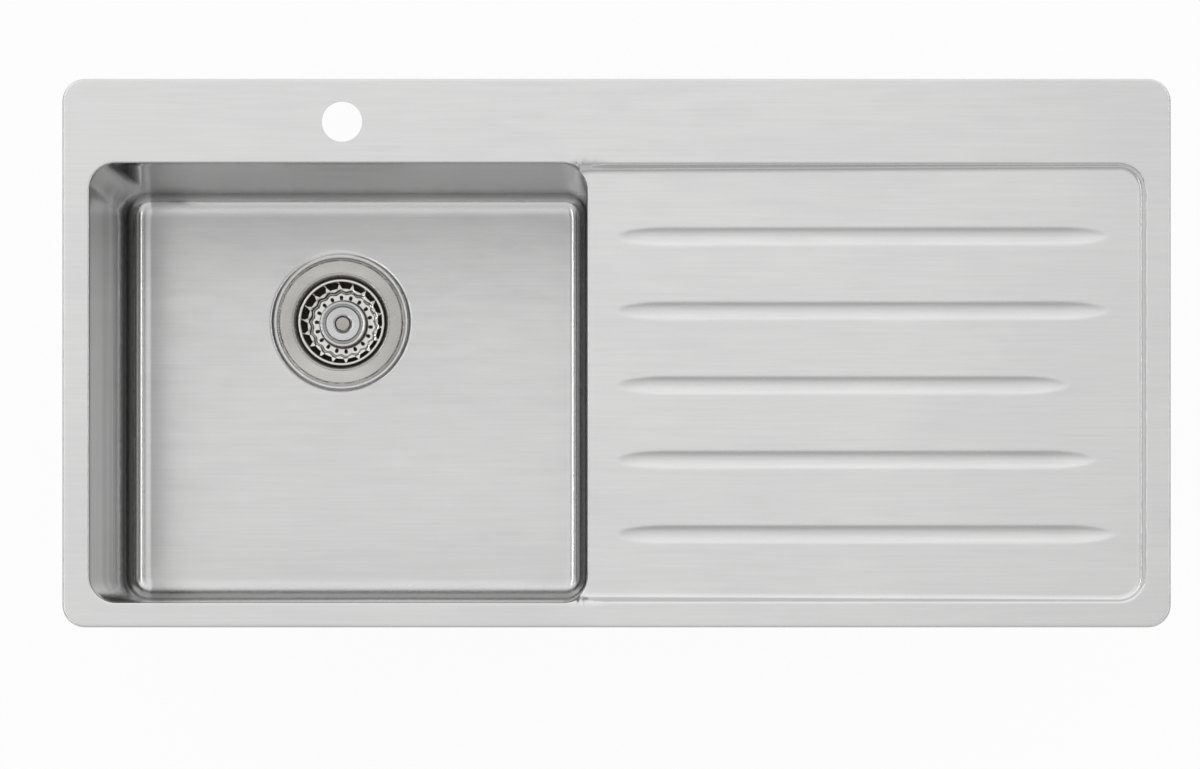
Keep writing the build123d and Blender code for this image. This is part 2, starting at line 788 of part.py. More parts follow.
catch_top = plug_bottom - plug_washer_thickness
catch_levels = (neck_top - cross_drop, neck_top - cross_drop - cross_height)
with BuildPart() as catch_sleeve:
    with BuildSketch(waste_plane.offset(stem_end)):
        Circle(catch_radius)
        Circle(stem_hole, mode=Mode.SUBTRACT)
    extrude(amount=catch_top - stem_end)
    for level in catch_levels:
        with BuildSketch(waste_plane.offset(level)):
            Circle(catch_radius)
            Circle(catch_radius - catch_groove_depth, mode=Mode.SUBTRACT)
        extrude(amount=catch_groove_width, mode=Mode.SUBTRACT)
catch_sleeve.part.label = "catch_sleeve"
export_step(catch_sleeve.part, "parts/catch_sleeve.step")
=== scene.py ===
"""Looks of a kitchen sink with a drainboard.

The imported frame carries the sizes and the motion. This script dresses it: the pressed deck, the
drawn bowl and the basket waste are modelled afresh, and the fixings are smoothed copies of their
solids. Meshes are drawn in millimetres and brought to metres when a piece is finished.
"""

import json
import logging
from dataclasses import dataclass
from enum import Enum
from math import atan2, ceil, cos, degrees, hypot, pi, radians, sin, sqrt, tan
from typing import Callable, Iterable, Sequence

import bmesh
import bpy
from mathutils import Matrix, Vector


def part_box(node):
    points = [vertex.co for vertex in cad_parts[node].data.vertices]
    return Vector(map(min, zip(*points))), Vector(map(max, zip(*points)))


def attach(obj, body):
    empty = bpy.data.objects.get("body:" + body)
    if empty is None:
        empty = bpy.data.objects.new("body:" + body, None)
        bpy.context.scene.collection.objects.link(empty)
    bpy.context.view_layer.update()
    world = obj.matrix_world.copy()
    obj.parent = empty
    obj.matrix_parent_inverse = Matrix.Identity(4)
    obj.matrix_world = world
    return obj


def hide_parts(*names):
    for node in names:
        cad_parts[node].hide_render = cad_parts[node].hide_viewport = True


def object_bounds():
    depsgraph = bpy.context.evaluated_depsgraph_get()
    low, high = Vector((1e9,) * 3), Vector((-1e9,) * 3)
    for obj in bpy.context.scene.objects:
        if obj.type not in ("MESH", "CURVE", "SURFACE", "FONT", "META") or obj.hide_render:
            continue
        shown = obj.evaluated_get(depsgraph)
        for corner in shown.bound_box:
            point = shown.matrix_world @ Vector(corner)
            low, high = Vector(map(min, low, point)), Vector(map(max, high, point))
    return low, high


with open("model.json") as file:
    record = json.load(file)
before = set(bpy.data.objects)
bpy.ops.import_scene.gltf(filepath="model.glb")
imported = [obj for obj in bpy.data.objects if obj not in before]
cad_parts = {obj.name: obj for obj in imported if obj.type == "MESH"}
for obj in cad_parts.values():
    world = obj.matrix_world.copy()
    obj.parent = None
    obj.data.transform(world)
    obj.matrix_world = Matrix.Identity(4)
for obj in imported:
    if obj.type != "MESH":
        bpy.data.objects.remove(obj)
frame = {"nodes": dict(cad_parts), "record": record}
cad_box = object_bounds()

MM = 0.001
SMOOTH_ANGLE = radians(32)

log = logging.getLogger("sink")

Colour = tuple[float, float, float]
Corner = tuple[float, float, float]


class Finish(Enum):
    """Finishes of the pieces, each with the record's material slot that it belongs to."""

    SHEET = ("sheet", "brushed_sheet")
    WASTE = ("waste", "waste_steel")
    BASKET = ("basket", "basket_steel")
    KNOB = ("knob", "knob_steel")
    BUTTON = ("button", "basket_steel")
    ZINC = ("zinc", "galvanised_steel")
    RUBBER = ("rubber", "rubber")
    FOAM = ("foam", "foam_seal")
    MAT = ("mat", "damping_mat")
    DARK_PLASTIC = ("dark plastic", "dark_plastic")
    PALE_PLASTIC = ("pale plastic", "pale_plastic")
    SCREW = ("screw", "plated_screw")
    CLIP = ("clip", "clip_steel")

    @property
    def slot(self) -> str:
        """Name of the material slot in the record."""
        return self.value[1]


class Pattern(Enum):
    """Patterns that run over the surfaces."""

    BRUSHED = "brushed lines"
    TURNED = "turned lines"
    HANDLED = "handling marks"
    GRAIN = "even grain"


def node_box(node: str) -> tuple[Vector, Vector]:
    """Gives a solid's lowest and highest corners in millimetres.

    Args:
        node: Name of the solid in the frame.

    Returns:
        The lowest and the highest corner.
    """
    low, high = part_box(node)
    return low / MM, high / MM


def waste_axis() -> Vector:
    """Place of the waste's upright axis, in millimetres."""
    low, high = node_box("waste_body")
    return Vector(((low.x + high.x) / 2, (low.y + high.y) / 2, 0.0))


# ---------------------------------------------------------------- shaders


class NodeBench:
    """Places and links nodes in one tree, from left to right."""

    def __init__(self, tree: bpy.types.NodeTree) -> None:
        """Starts on an empty tree.

        Args:
            tree: The tree that the nodes go into.
        """
        self.tree = tree
        tree.nodes.clear()

    def add(self, kind: str, **settings: object) -> bpy.types.Node:
        """Adds a node.

        Args:
            kind: The node's type name, without its "ShaderNode" in front.
            settings: Properties of the node to set.

        Returns:
            The new node.
        """
        prefix = "" if kind.startswith("NodeGroup") else "ShaderNode"
        node = self.tree.nodes.new(prefix + kind)
        for name, value in settings.items():
            setattr(node, name, value)
        return node

    def feed(self, source: object, target: bpy.types.NodeSocket) -> None:
        """Links a socket to a socket, or sets a plain value on it.

        Args:
            source: An output socket, a number or a tuple.
            target: The input socket.
        """
        if isinstance(source, bpy.types.NodeSocket):
            self.tree.links.new(source, target)
        else:
            target.default_value = source

    def math(self, operation: str, first: object, second: object = 0.0) -> bpy.types.NodeSocket:
        """Adds a Math node.

        Args:
            operation: Blender's name of the operation.
            first: The first value or socket.
            second: The second value or socket.

        Returns:
            The result's socket.
        """
        node = self.add("Math", operation=operation)
        self.feed(first, node.inputs[0])
        self.feed(second, node.inputs[1])
        return node.outputs[0]

    def remap(
        self, value: object, start: float, end: float, low: float, high: float
    ) -> bpy.types.NodeSocket:
        """Maps a range of a value to another range, and clamps it.

        Args:
            value: The value's socket.
            start: Value that gives `low`.
            end: Value that gives `high`.
            low: Result at the start.
            high: Result at the end.

        Returns:
            The result's socket.
        """
        node = self.add("MapRange")
        self.feed(value, node.inputs["Value"])
        for name, number in (
            ("From Min", start),
            ("From Max", end),
            ("To Min", low),
            ("To Max", high),
        ):
            self.feed(number, node.inputs[name])
        return node.outputs["Result"]

    def place(
        self, centre: Sequence[float], scale: Sequence[float], turn: float = 0.0
    ) -> bpy.types.NodeSocket:
        """Gives Object coordinates about a centre, stretched by a scale.

        Args:
            centre: Point in metres that becomes the pattern's origin.
            scale: Factor for each axis.
            turn: Turn about Z in radians.

        Returns:
            The coordinates' socket.
        """
        coordinates = self.add("TexCoord")
        mapping = self.add("Mapping", vector_type="POINT")
        self.feed(coordinates.outputs["Object"], mapping.inputs["Vector"])
        offset = Matrix.Rotation(turn, 3, "Z") @ Vector(
            [-place * factor for place, factor in zip(centre, scale)]
        )
        mapping.inputs["Location"].default_value = offset
        mapping.inputs["Rotation"].default_value = (0.0, 0.0, turn)
        mapping.inputs["Scale"].default_value = scale
        return mapping.outputs["Vector"]

    def noise(
        self, vector: object, scale: float, detail: float = 3.0, roughness: float = 0.5
    ) -> bpy.types.NodeSocket:
        """Adds a Noise texture.

        Args:
            vector: Coordinates' socket.
            scale: Cells a unit.
            detail: Octaves.
            roughness: Weight of the finer octaves.

        Returns:
            The noise value's socket.
        """
        node = self.add("TexNoise", noise_dimensions="3D", normalize=True)
        self.feed(vector, node.inputs["Vector"])
        self.feed(scale, node.inputs["Scale"])
        self.feed(detail, node.inputs["Detail"])
        self.feed(roughness, node.inputs["Roughness"])
        return node.outputs["Fac"]

    def blend(self, share: object, first: object, second: object) -> bpy.types.NodeSocket:
        """Mixes two colours.

        Args:
            share: Share of the second, a number or a socket.
            first: Colour or socket at 0.
            second: Colour or socket at 1.

        Returns:
            The mixed colour's socket.
        """
        node = self.add("Mix", data_type="RGBA", blend_type="MIX")
        self.feed(share, node.inputs[0])
        for source, target in ((first, node.inputs[6]), (second, node.inputs[7])):
            self.feed((*source, 1.0) if isinstance(source, tuple) else source, target)
        return node.outputs[2]

    def level(self, share: object, first: object, second: object) -> bpy.types.NodeSocket:
        """Mixes two numbers.

        Args:
            share: Share of the second, a number or a socket.
            first: Number or socket at 0.
            second: Number or socket at 1.

        Returns:
            The mixed number's socket.
        """
        node = self.add("Mix", data_type="FLOAT")
        self.feed(share, node.inputs[0])
        self.feed(first, node.inputs[2])
        self.feed(second, node.inputs[3])
        return node.outputs[0]

    def split(self, vector: bpy.types.NodeSocket) -> Sequence[bpy.types.NodeSocket]:
        """Gives the sockets of a vector's X, Y and Z."""
        parts = self.add("SeparateXYZ")
        self.feed(vector, parts.inputs[0])
        return parts.outputs

    def dot(self, first: object, second: object) -> bpy.types.NodeSocket:
        """Multiplies two vectors into a number."""
        node = self.add("VectorMath", operation="DOT_PRODUCT")
        self.feed(first, node.inputs[0])
        self.feed(second, node.inputs[1])
        return node.outputs["Value"]


class PatternGroup:
    """A shader node group that puts out values that change over a surface."""

    def __init__(
        self,
        name: str,
        inputs: dict[str, float],
        outputs: Sequence[str],
        fill: Callable[[NodeBench, bpy.types.Node], dict[str, bpy.types.NodeSocket]],
    ) -> None:
        """Builds the group once.

        Args:
            name: The group's name.
            inputs: Its number inputs with their defaults.
            outputs: Names of its number outputs.
            fill: Adds the nodes and returns a socket for each output.
        """
        self.tree = bpy.data.node_groups.new(name, "ShaderNodeTree")
        for label, default in inputs.items():
            socket = self.tree.interface.new_socket(
                name=label, in_out="INPUT", socket_type="NodeSocketFloat"
            )
            socket.default_value = default
        for label in outputs:
            self.tree.interface.new_socket(
                name=label, in_out="OUTPUT", socket_type="NodeSocketFloat"
            )
        bench = NodeBench(self.tree)
        entry = bench.add("NodeGroupInput")
        leave = bench.add("NodeGroupOutput")
        for label, socket in fill(bench, entry).items():
            bench.feed(socket, leave.inputs[label])

    def use(self, bench: NodeBench, **values: float) -> bpy.types.Node:
        """Places the group in a material.

        Args:
            bench: The material's nodes.
            values: Input values, with underscores for the spaces in their names.

        Returns:
            The group node.
        """
        node = bench.add("Group", node_tree=self.tree)
        for name, value in values.items():
            node.inputs[name.replace("_", " ")].default_value = value
        return node


def fill_brushed(bench: NodeBench, entry: bpy.types.Node) -> dict[str, bpy.types.NodeSocket]:
    """Straight brushing: fine lines along X, and level along Y on the walls that face X.

    Args:
        bench: The group's nodes.
        entry: The group's input node.

    Returns:
        Sockets for Line, a fine line value, Streak, a broad one, Side, the share of walls that face
        X, Steep, the share of walls and bends, Wall, the share of walls that don't face the tap
        ledge, which get painted shade, and Bend, the share of bends below the tap ledge, which get
        a painted highlight.
    """
    along, across, wide, band = 12.0, 2600.0, 420.0, 62.0
    facing = bench.split(bench.add("TexCoord").outputs["Normal"])
    side = bench.remap(bench.math("ABSOLUTE", facing[0]), 0.6, 0.9, 0.0, 1.0)
    results = {}
    for label, fineness, level_fineness in (("Line", across, across), ("Streak", wide, band)):
        flat = bench.noise(bench.place((0, 0, 0), (along, fineness, fineness)), 1.0, 2.0)
        level = bench.noise(bench.place((0, 0, 0), (along, 1.0, level_fineness)), 1.0, 2.0)
        value = bench.level(side, flat, level)
        results[label] = bench.math("MULTIPLY", value, entry.outputs["Strength"])
    results["Side"] = side
    level_share = bench.math("ABSOLUTE", facing[2])
    results["Steep"] = bench.remap(level_share, 0.75, 0.97, 1.0, 0.0)
    wall = bench.remap(level_share, 0.35, 0.75, 1.0, 0.0)
    results["Wall"] = bench.math("MULTIPLY", wall, bench.remap(facing[1], 0.2, 0.6, 1.0, 0.0))
    gentle = bench.math("SUBTRACT", 1.0, wall)
    results["Bend"] = bench.math("MULTIPLY", gentle, bench.remap(facing[1], -0.12, -0.35, 0.0, 1.0))
    return results


def fill_turned(bench: NodeBench, entry: bpy.types.Node) -> dict[str, bpy.types.NodeSocket]:
    """Turned finish: fine rings about the waste's axis.

    Args:
        bench: The group's nodes.
        entry: The group's input node.

    Returns:
        Sockets for Line, a fine ring value, and Sheen, a broad value that is high on the
        front and the back of the axis; in the waste's colour it is a painted sheen.
    """
    fineness = 2200.0
    flat = bench.place(waste_axis() * MM, (1, 1, 0))
    upright = bench.split(bench.place((0, 0, 0), (1, 1, 1)))[2]
    parts = bench.split(flat)
    reach = bench.math("SQRT", bench.dot(flat, flat))
    ring = bench.add("CombineXYZ")
    bench.feed(bench.math("MULTIPLY", reach, fineness), ring.inputs[0])
    bench.feed(bench.math("MULTIPLY", upright, fineness), ring.inputs[1])
    turn = bench.math("ARCTAN2", parts[1], parts[0])
    fine = bench.noise(ring.outputs[0], 1.0, 2.0)
    wave = bench.math("COSINE", bench.math("MULTIPLY", turn, 2.0))
    sheen = bench.remap(wave, 1.0, -1.0, 0.0, 1.0)
    return {
        "Line": bench.math("MULTIPLY", fine, entry.outputs["Strength"]),
        "Sheen": bench.math("MULTIPLY", sheen, entry.outputs["Strength"]),
    }


def fill_handled(bench: NodeBench, entry: bpy.types.Node) -> dict[str, bpy.types.NodeSocket]:
    """Faint clouds and wiping marks that handling leaves on a surface.

    Args:
        bench: The group's nodes.
        entry: The group's input node.

    Returns:
        Sockets for Cloud, a broad value about 0.5, and Wipe, a finer one.
    """
    cloud = bench.noise(bench.place((0, 0, 0), (1, 1.6, 1)), 6.0, 3.0)
    wipe = bench.noise(bench.place((0.1, 0, 0), (1, 4, 2), 0.35), 22.0, 4.0, 0.6)
    return {
        "Cloud": bench.math("MULTIPLY", cloud, entry.outputs["Strength"]),
        "Wipe": bench.math("MULTIPLY", wipe, entry.outputs["Strength"]),
    }


def fill_speckle(bench: NodeBench, entry: bpy.types.Node) -> dict[str, bpy.types.NodeSocket]:
    """Even grain of moulded and cut soft materials.

    Args:
        bench: The group's nodes.
        entry: The group's input node.

    Returns:
        Sockets for Grain, a fine value, and Patch, a broad one.
    """
    vector = bench.add("TexCoord").outputs["Object"]
    node = bench.add("TexNoise", noise_dimensions="3D", normalize=True)
    bench.feed(vector, node.inputs["Vector"])
    bench.feed(entry.outputs["Scale"], node.inputs["Scale"])
    bench.feed(4.0, node.inputs["Detail"])
    broad = bench.noise(vector, 45.0, 2.0)
    return {"Grain": node.outputs["Fac"], "Patch": broad}


BRUSHED_OUTPUTS = ("Line", "Streak", "Side", "Steep", "Wall", "Bend")
PATTERNS = {
    pattern: PatternGroup(pattern.value, inputs, outputs, fill)
    for pattern, inputs, outputs, fill in (
        (Pattern.BRUSHED, {"Strength": 1.0}, BRUSHED_OUTPUTS, fill_brushed),
        (Pattern.TURNED, {"Strength": 1.0}, ("Line", "Sheen"), fill_turned),
        (Pattern.HANDLED, {"Strength": 1.0}, ("Cloud", "Wipe"), fill_handled),
        (Pattern.GRAIN, {"Scale": 900.0}, ("Grain", "Patch"), fill_speckle),
    )
}


def new_material(name: str) -> tuple[bpy.types.Material, NodeBench, bpy.types.Node]:
    """Starts a material with a Principled shader.

    Args:
        name: The material's name.

    Returns:
        The material, its bench and its shader node.
    """
    material = bpy.data.materials.new(name)
    material.use_nodes = True
    bench = NodeBench(material.node_tree)
    shader = bench.add("BsdfPrincipled")
    output = bench.add("OutputMaterial")
    bench.feed(shader.outputs[0], output.inputs["Surface"])
    return material, bench, shader


def add_bump(
    bench: NodeBench, shader: bpy.types.Node, height: object, distance: float, strength: float
) -> None:
    """Gives a shader a bump from a height value.

    Args:
        bench: The material's nodes.
        shader: Its Principled shader.
        height: The height's socket.
        distance: Height of the full range, in metres.
        strength: Share of the bump that shows.
    """
    bump = bench.add("Bump")
    bench.feed(strength, bump.inputs["Strength"])
    bench.feed(distance, bump.inputs["Distance"])
    bench.feed(height, bump.inputs["Height"])
    bench.feed(bump.outputs[0], shader.inputs["Normal"])


LINE_IN_COLOUR = 0.12
LINE_IN_ROUGHNESS = 0.2
BROAD_IN_BUMP = 0.35
MIDDLE_VALUES = (0.35, 0.65)  # between which most of a noise's values lie


@dataclass(frozen=True)
class PaintedShade:
    """Painted shade inside the waste: a dark colour on the inward faces deep in the cup and round
    the knob's foot, where shade falls.

    Attributes:
        colour: The painted shade's colour.
        roughness: The roughness where it lies.
        top: Height at which it begins, in metres.
        foot: Height below which it covers all.
        full: Distance from the axis up to which it covers all.
        none: Distance from the axis at which it has ended.
    """

    colour: Colour
    roughness: float
    top: float
    foot: float
    full: float = 0.1
    none: float = 0.2

    def share(self, bench: NodeBench) -> bpy.types.NodeSocket:
        """Gives how much of the painted shade lies on a place.

        Args:
            bench: The material's nodes.

        Returns:
            The share's socket: 1 deep inside, 0 on the flange and on the outside.
        """
        axis = waste_axis() * MM
        height = bench.split(bench.place((0, 0, 0), (1, 1, 1)))[2]
        depth = bench.remap(height, self.top, self.foot, 0.0, 1.0)
        flat = bench.place(axis, (1, 1, 0))
        reach = bench.math("SQRT", bench.dot(flat, flat))
        near = bench.remap(reach, self.full, self.none, 1.0, 0.0)
        outward = bench.place((axis.x, axis.y, 50.0), (1, 1, 0.001))
        facing = bench.dot(bench.add("TexCoord").outputs["Normal"], outward)
        inside = bench.remap(facing, -0.004, 0.004, 1.0, 0.0)
        return bench.math("MULTIPLY", bench.math("MULTIPLY", depth, near), inside)


@dataclass(frozen=True)
class DrawnLinesAndPaintedLight:
    """Drawn lines, painted shade and a painted highlight on the walls and bends of a brushed sheet,
    which are also smoother. Heights are in metres.

    Attributes:
        drawn_lines_and_painted_shade: How much darker the drawn lines are on the walls that face X;
            lower down this darkening is painted shade.
        band_values: Values of the broad pattern at which a line is darkest and has ended.
        painted_shade_heights: Heights between which the lines' painted shade comes in, on the way
            down.
        painted_shade_least: Share of the lines above those heights.
        wall: Share of the brightness left on walls that don't face the tap ledge, a painted shade.
        polish: Share of the roughness left on walls and bends.
        painted_highlight: How much brighter the bend below the tap ledge is painted, a painted
            highlight.
        painted_highlight_heights: Heights between which the painted highlight comes in, on the way
            down.
    """

    drawn_lines_and_painted_shade: float = 0.5
    band_values: tuple[float, float] = (0.48, 0.66)
    painted_shade_heights: tuple[float, float] = (-0.04, -0.085)
    painted_shade_least: float = 0.1
    wall: float = 0.66
    polish: float = 0.55
    painted_highlight: float = 0.38
    painted_highlight_heights: tuple[float, float] = (-0.15, -0.175)

    def brightness(self, bench: NodeBench, lines: bpy.types.Node) -> bpy.types.NodeSocket:
        """Gives the factor that the sheet's colour is multiplied by, which holds the painted shade
        and the painted highlight.

        Args:
            bench: The material's nodes.
            lines: The brushed pattern's node.

        Returns:
            The factor's socket: 1 on the flat parts.
        """
        height = bench.split(bench.place((0, 0, 0), (1, 1, 1)))[2]
        band = bench.remap(lines.outputs["Streak"], *self.band_values, 1.0 - self.drawn_lines_and_painted_shade, 1.0)
        # Painted shade: the lines on the walls that face X darken lower down.
        deep = bench.remap(height, *self.painted_shade_heights, self.painted_shade_least, 1.0)
        factor = bench.level(bench.math("MULTIPLY", lines.outputs["Side"], deep), 1.0, band)
        # Painted shade: walls that don't face the tap ledge are darker.
        on_wall = bench.math("MULTIPLY", factor, self.wall)
        factor = bench.level(lines.outputs["Wall"], factor, on_wall)
        # Painted highlight: the bend below the tap ledge is brighter.
        low = bench.remap(height, *self.painted_highlight_heights, 0.0, self.painted_highlight)
        painted_highlight = bench.math("MULTIPLY", lines.outputs["Bend"], low)
        return bench.math("MULTIPLY", factor, bench.math("ADD", painted_highlight, 1.0))


@dataclass(frozen=True)
class Metal:
    """Bare or plated metal, brushed straight or turned.

    Attributes:
        name: The finish's name.
        colour: Its lighter colour.
        shade: Its darker colour, where it is clouded.
        smooth: Roughness at the smoothest.
        rough: Roughness at the roughest.
        lines: The pattern of its fine lines.
        depth: Depth of the lines in metres.
        stretch: How far reflections are drawn out across the lines.
        streaks_and_painted_sheen: Share of the pattern's broad value in the colour: brushed streak
            lines on straight-brushed finishes, a painted sheen on turned ones.
        drawn_lines_and_painted_light: Drawn lines, painted shade and a painted highlight on its
            walls and bends, or None.
        painted_shade: Painted shade on a part of it, where shade falls, or None.
    """

    name: str
    colour: Colour
    shade: Colour
    smooth: float
    rough: float
    lines: Pattern
    depth: float
    stretch: float = 0.0
    streaks_and_painted_sheen: float = 0.0
    drawn_lines_and_painted_light: DrawnLinesAndPaintedLight | None = None
    painted_shade: PaintedShade | None = None

    def build(self) -> bpy.types.Material:
        """Builds the material.

        Returns:
            The finished material.
        """
        material, bench, shader = new_material(self.name)
        lines = PATTERNS[self.lines].use(bench)
        marks = PATTERNS[Pattern.HANDLED].use(bench)
        line, broad = lines.outputs[0], lines.outputs[1]
        tone = bench.level(LINE_IN_COLOUR, marks.outputs["Cloud"], line)
        # On turned finishes this paints a sheen into the colour, lighter to the front and the back
        # of the axis.
        if self.streaks_and_painted_sheen:
            tone = bench.level(self.streaks_and_painted_sheen, tone, broad)
        share = bench.remap(tone, *MIDDLE_VALUES, 0.0, 1.0)
        colour = bench.blend(share, self.shade, self.colour)
        grain = bench.level(LINE_IN_ROUGHNESS, marks.outputs["Wipe"], line)
        roughness = bench.remap(grain, *MIDDLE_VALUES, self.smooth, self.rough)
        # Painted shade on the walls and lower down the lines, and a painted highlight on the bend
        # below the tap ledge.
        if self.drawn_lines_and_painted_light:
            scaled = bench.add("VectorMath", operation="SCALE")
            bench.feed(colour, scaled.inputs[0])
            bench.feed(self.drawn_lines_and_painted_light.brightness(bench, lines), scaled.inputs["Scale"])
            colour = scaled.outputs[0]
            polished = bench.math("MULTIPLY", roughness, self.drawn_lines_and_painted_light.polish)
            roughness = bench.level(lines.outputs["Steep"], roughness, polished)
        # Painted shade: dark colour deep inside the waste and round the knob's foot, where shade
        # falls.
        if self.painted_shade:
            shade_share = self.painted_shade.share(bench)
            colour = bench.blend(shade_share, colour, self.painted_shade.colour)
            roughness = bench.level(shade_share, roughness, self.painted_shade.roughness)
        bench.feed(colour, shader.inputs["Base Color"])
        bench.feed(roughness, shader.inputs["Roughness"])
        shader.inputs["Metallic"].default_value = 1.0
        if self.stretch:
            shader.inputs["Anisotropic"].default_value = self.stretch
            bench.feed(self.across(bench), shader.inputs["Tangent"])
        height = bench.math("ADD", line, bench.math("MULTIPLY", broad, BROAD_IN_BUMP))
        add_bump(bench, shader, height, self.depth, 1.0)
        return material

    def across(self, bench: NodeBench) -> bpy.types.NodeSocket:
        """Gives the direction square to the lines.

        Args:
            bench: The material's nodes.

        Returns:
            The direction's socket: outwards from the waste's axis, or nearly along Y.
        """
        if self.lines is Pattern.TURNED:
            axis = waste_axis() * MM
            return bench.place((axis.x, axis.y, -2.5), (1, 1, 0.001))
        return bench.place((0.0, -50.0, -2.5), (0.02, 0.02, 0.02))


@dataclass(frozen=True)
class Moulded:
    """Rubber, foam, matting or plastic with an even grain.

    Attributes:
        name: The finish's name.
        colour: Its main colour.
        shade: The colour of its patches.
        smooth: Roughness at the smoothest.
        rough: Roughness at the roughest.
        scale: Grains a metre.
        depth: Depth of the grain in metres.
    """

    name: str
    colour: Colour
    shade: Colour
    smooth: float
    rough: float
    scale: float
    depth: float

    def build(self) -> bpy.types.Material:
        """Builds the material.

        Returns:
            The finished material.
        """
        material, bench, shader = new_material(self.name)
        grain = PATTERNS[Pattern.GRAIN].use(bench, Scale=self.scale)
        share = bench.remap(grain.outputs["Patch"], 0.3, 0.7, 0.0, 1.0)
        bench.feed(bench.blend(share, self.shade, self.colour), shader.inputs["Base Color"])
        bench.feed(
            bench.remap(grain.outputs["Grain"], 0.3, 0.7, self.smooth, self.rough),
            shader.inputs["Roughness"],
        )
        add_bump(bench, shader, grain.outputs["Grain"], self.depth, 1.0)
        return material


FINISHES = {
    Finish.SHEET: Metal(
        name="brushed sheet",
        colour=(0.685, 0.683, 0.68),
        shade=(0.64, 0.639, 0.64),
        smooth=0.28,
        rough=0.32,
        lines=Pattern.BRUSHED,
        depth=8.0e-8,
        stretch=0.93,
        streaks_and_painted_sheen=0.5,
        # Painted shade on the walls and a painted highlight on the bowl's back bend.
        drawn_lines_and_painted_light=DrawnLinesAndPaintedLight(),
    ),
    Finish.WASTE: Metal(
        name="turned steel",
        colour=(0.545, 0.535, 0.515),
        shade=(0.43, 0.42, 0.40),
        smooth=0.24,
        rough=0.30,
        lines=Pattern.TURNED,
        depth=1.0e-6,
        stretch=0.85,
        # Painted sheen: the turned flange is lighter to the front and the back of the axis.
        streaks_and_painted_sheen=0.4,
        # Painted shade: dark colour on the cup's inner faces below the flange, where shade falls.
        painted_shade=PaintedShade((0.12, 0.10, 0.08), 0.6, -0.2015, -0.209),
    ),
    Finish.BASKET: Metal(
        name="pressed steel",
        colour=(0.66, 0.645, 0.625),
        shade=(0.60, 0.585, 0.565),
        smooth=0.08,
        rough=0.15,
        lines=Pattern.TURNED,
        depth=1.0e-6,
        # Painted shadow of the knob: dark colour on the basket's floor round the knob's foot.
        painted_shade=PaintedShade((0.14, 0.12, 0.105), 0.5, -0.2258, -0.2266, 0.0229, 0.0239),
    ),
    Finish.KNOB: Metal(
        name="knob steel",
        colour=(0.57, 0.57, 0.57),
        shade=(0.51, 0.51, 0.51),
        smooth=0.18,
        rough=0.28,
        lines=Pattern.TURNED,
        depth=1.0e-6,
        stretch=0.5,
    ),
    Finish.BUTTON: Metal(
        name="button steel",
        colour=(0.40, 0.385, 0.365),
        shade=(0.37, 0.355, 0.335),
        smooth=0.2,
        rough=0.3,
        lines=Pattern.TURNED,
        depth=1.0e-6,
    ),
    Finish.ZINC: Metal(
        name="zinc coat",
        colour=(0.52, 0.54, 0.56),
        shade=(0.40, 0.42, 0.45),
        smooth=0.35,
        rough=0.5,
        lines=Pattern.BRUSHED,
        depth=1.0e-6,
    ),
    Finish.SCREW: Metal(
        name="plated screw",
        colour=(0.62, 0.60, 0.52),
        shade=(0.50, 0.49, 0.44),
        smooth=0.25,
        rough=0.38,
        lines=Pattern.BRUSHED,
        depth=1.0e-6,
    ),
    Finish.CLIP: Metal(
        name="clip steel",
        colour=(0.50, 0.50, 0.49),
        shade=(0.38, 0.38, 0.38),
        smooth=0.3,
        rough=0.45,
        lines=Pattern.BRUSHED,
        depth=2.0e-6,
    ),
    Finish.RUBBER: Moulded(
        "black rubber", (0.035, 0.035, 0.037), (0.025, 0.025, 0.026), 0.45, 0.65, 1400.0, 2e-5
    ),
    Finish.FOAM: Moulded(
        "grey foam", (0.16, 0.16, 0.165), (0.12, 0.12, 0.125), 0.8, 0.95, 1800.0, 8e-5
    ),
    Finish.MAT: Moulded(
        "damping mat", (0.09, 0.09, 0.095), (0.065, 0.065, 0.07), 0.7, 0.9, 700.0, 1e-4
    ),
    Finish.DARK_PLASTIC: Moulded(
        "dark plastic", (0.05, 0.052, 0.056), (0.04, 0.042, 0.046), 0.35, 0.5, 2200.0, 1e-5
    ),
    Finish.PALE_PLASTIC: Moulded(
        "pale plastic", (0.78, 0.78, 0.76), (0.74, 0.74, 0.72), 0.3, 0.42, 1800.0, 8e-6
    ),
}
MATERIALS = {finish: look.build() for finish, look in FINISHES.items()}


# ---------------------------------------------------------------- meshes


def sharpen(bm: bmesh.types.BMesh) -> None:
    """Smooths all faces and keeps the edges sharper than the smooth angle.

    Args:
        bm: The mesh.
    """
    for face in bm.faces:
        face.smooth = True
    for edge in bm.edges:
        edge.smooth = len(edge.link_faces) == 2 and edge.calc_face_angle(pi) < SMOOTH_ANGLE


def face_up(bm: bmesh.types.BMesh) -> None:
    """Turns a sheet's faces to one side, so that most of them look up.

    Args:
        bm: The mesh.
    """
    bmesh.ops.recalc_face_normals(bm, faces=bm.faces)
    if sum(face.normal.z * face.calc_area() for face in bm.faces) < 0:
        bmesh.ops.reverse_faces(bm, faces=bm.faces)


def finish_piece(
    bm: bmesh.types.BMesh, name: str, body: str, finish: Finish, nodes: Sequence[str]
) -> bpy.types.Object:
    """Turns a mesh drawn in millimetres into a dressed piece that stands for its solids.

    Args:
        bm: The mesh, freed here.
        name: The piece's name.
        body: The body that it rides on.
        finish: Its finish.
        nodes: Solids that it replaces.

    Returns:
        The new object.
    """
    bmesh.ops.scale(bm, vec=(MM, MM, MM), verts=bm.verts)
    mesh = bpy.data.meshes.new(name)
    bm.to_mesh(mesh)
    bm.free()
    mesh.materials.append(MATERIALS[finish])
    piece = bpy.data.objects.new(name, mesh)
    bpy.context.scene.collection.objects.link(piece)
    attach(piece, body)
    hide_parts(*nodes)
    return piece


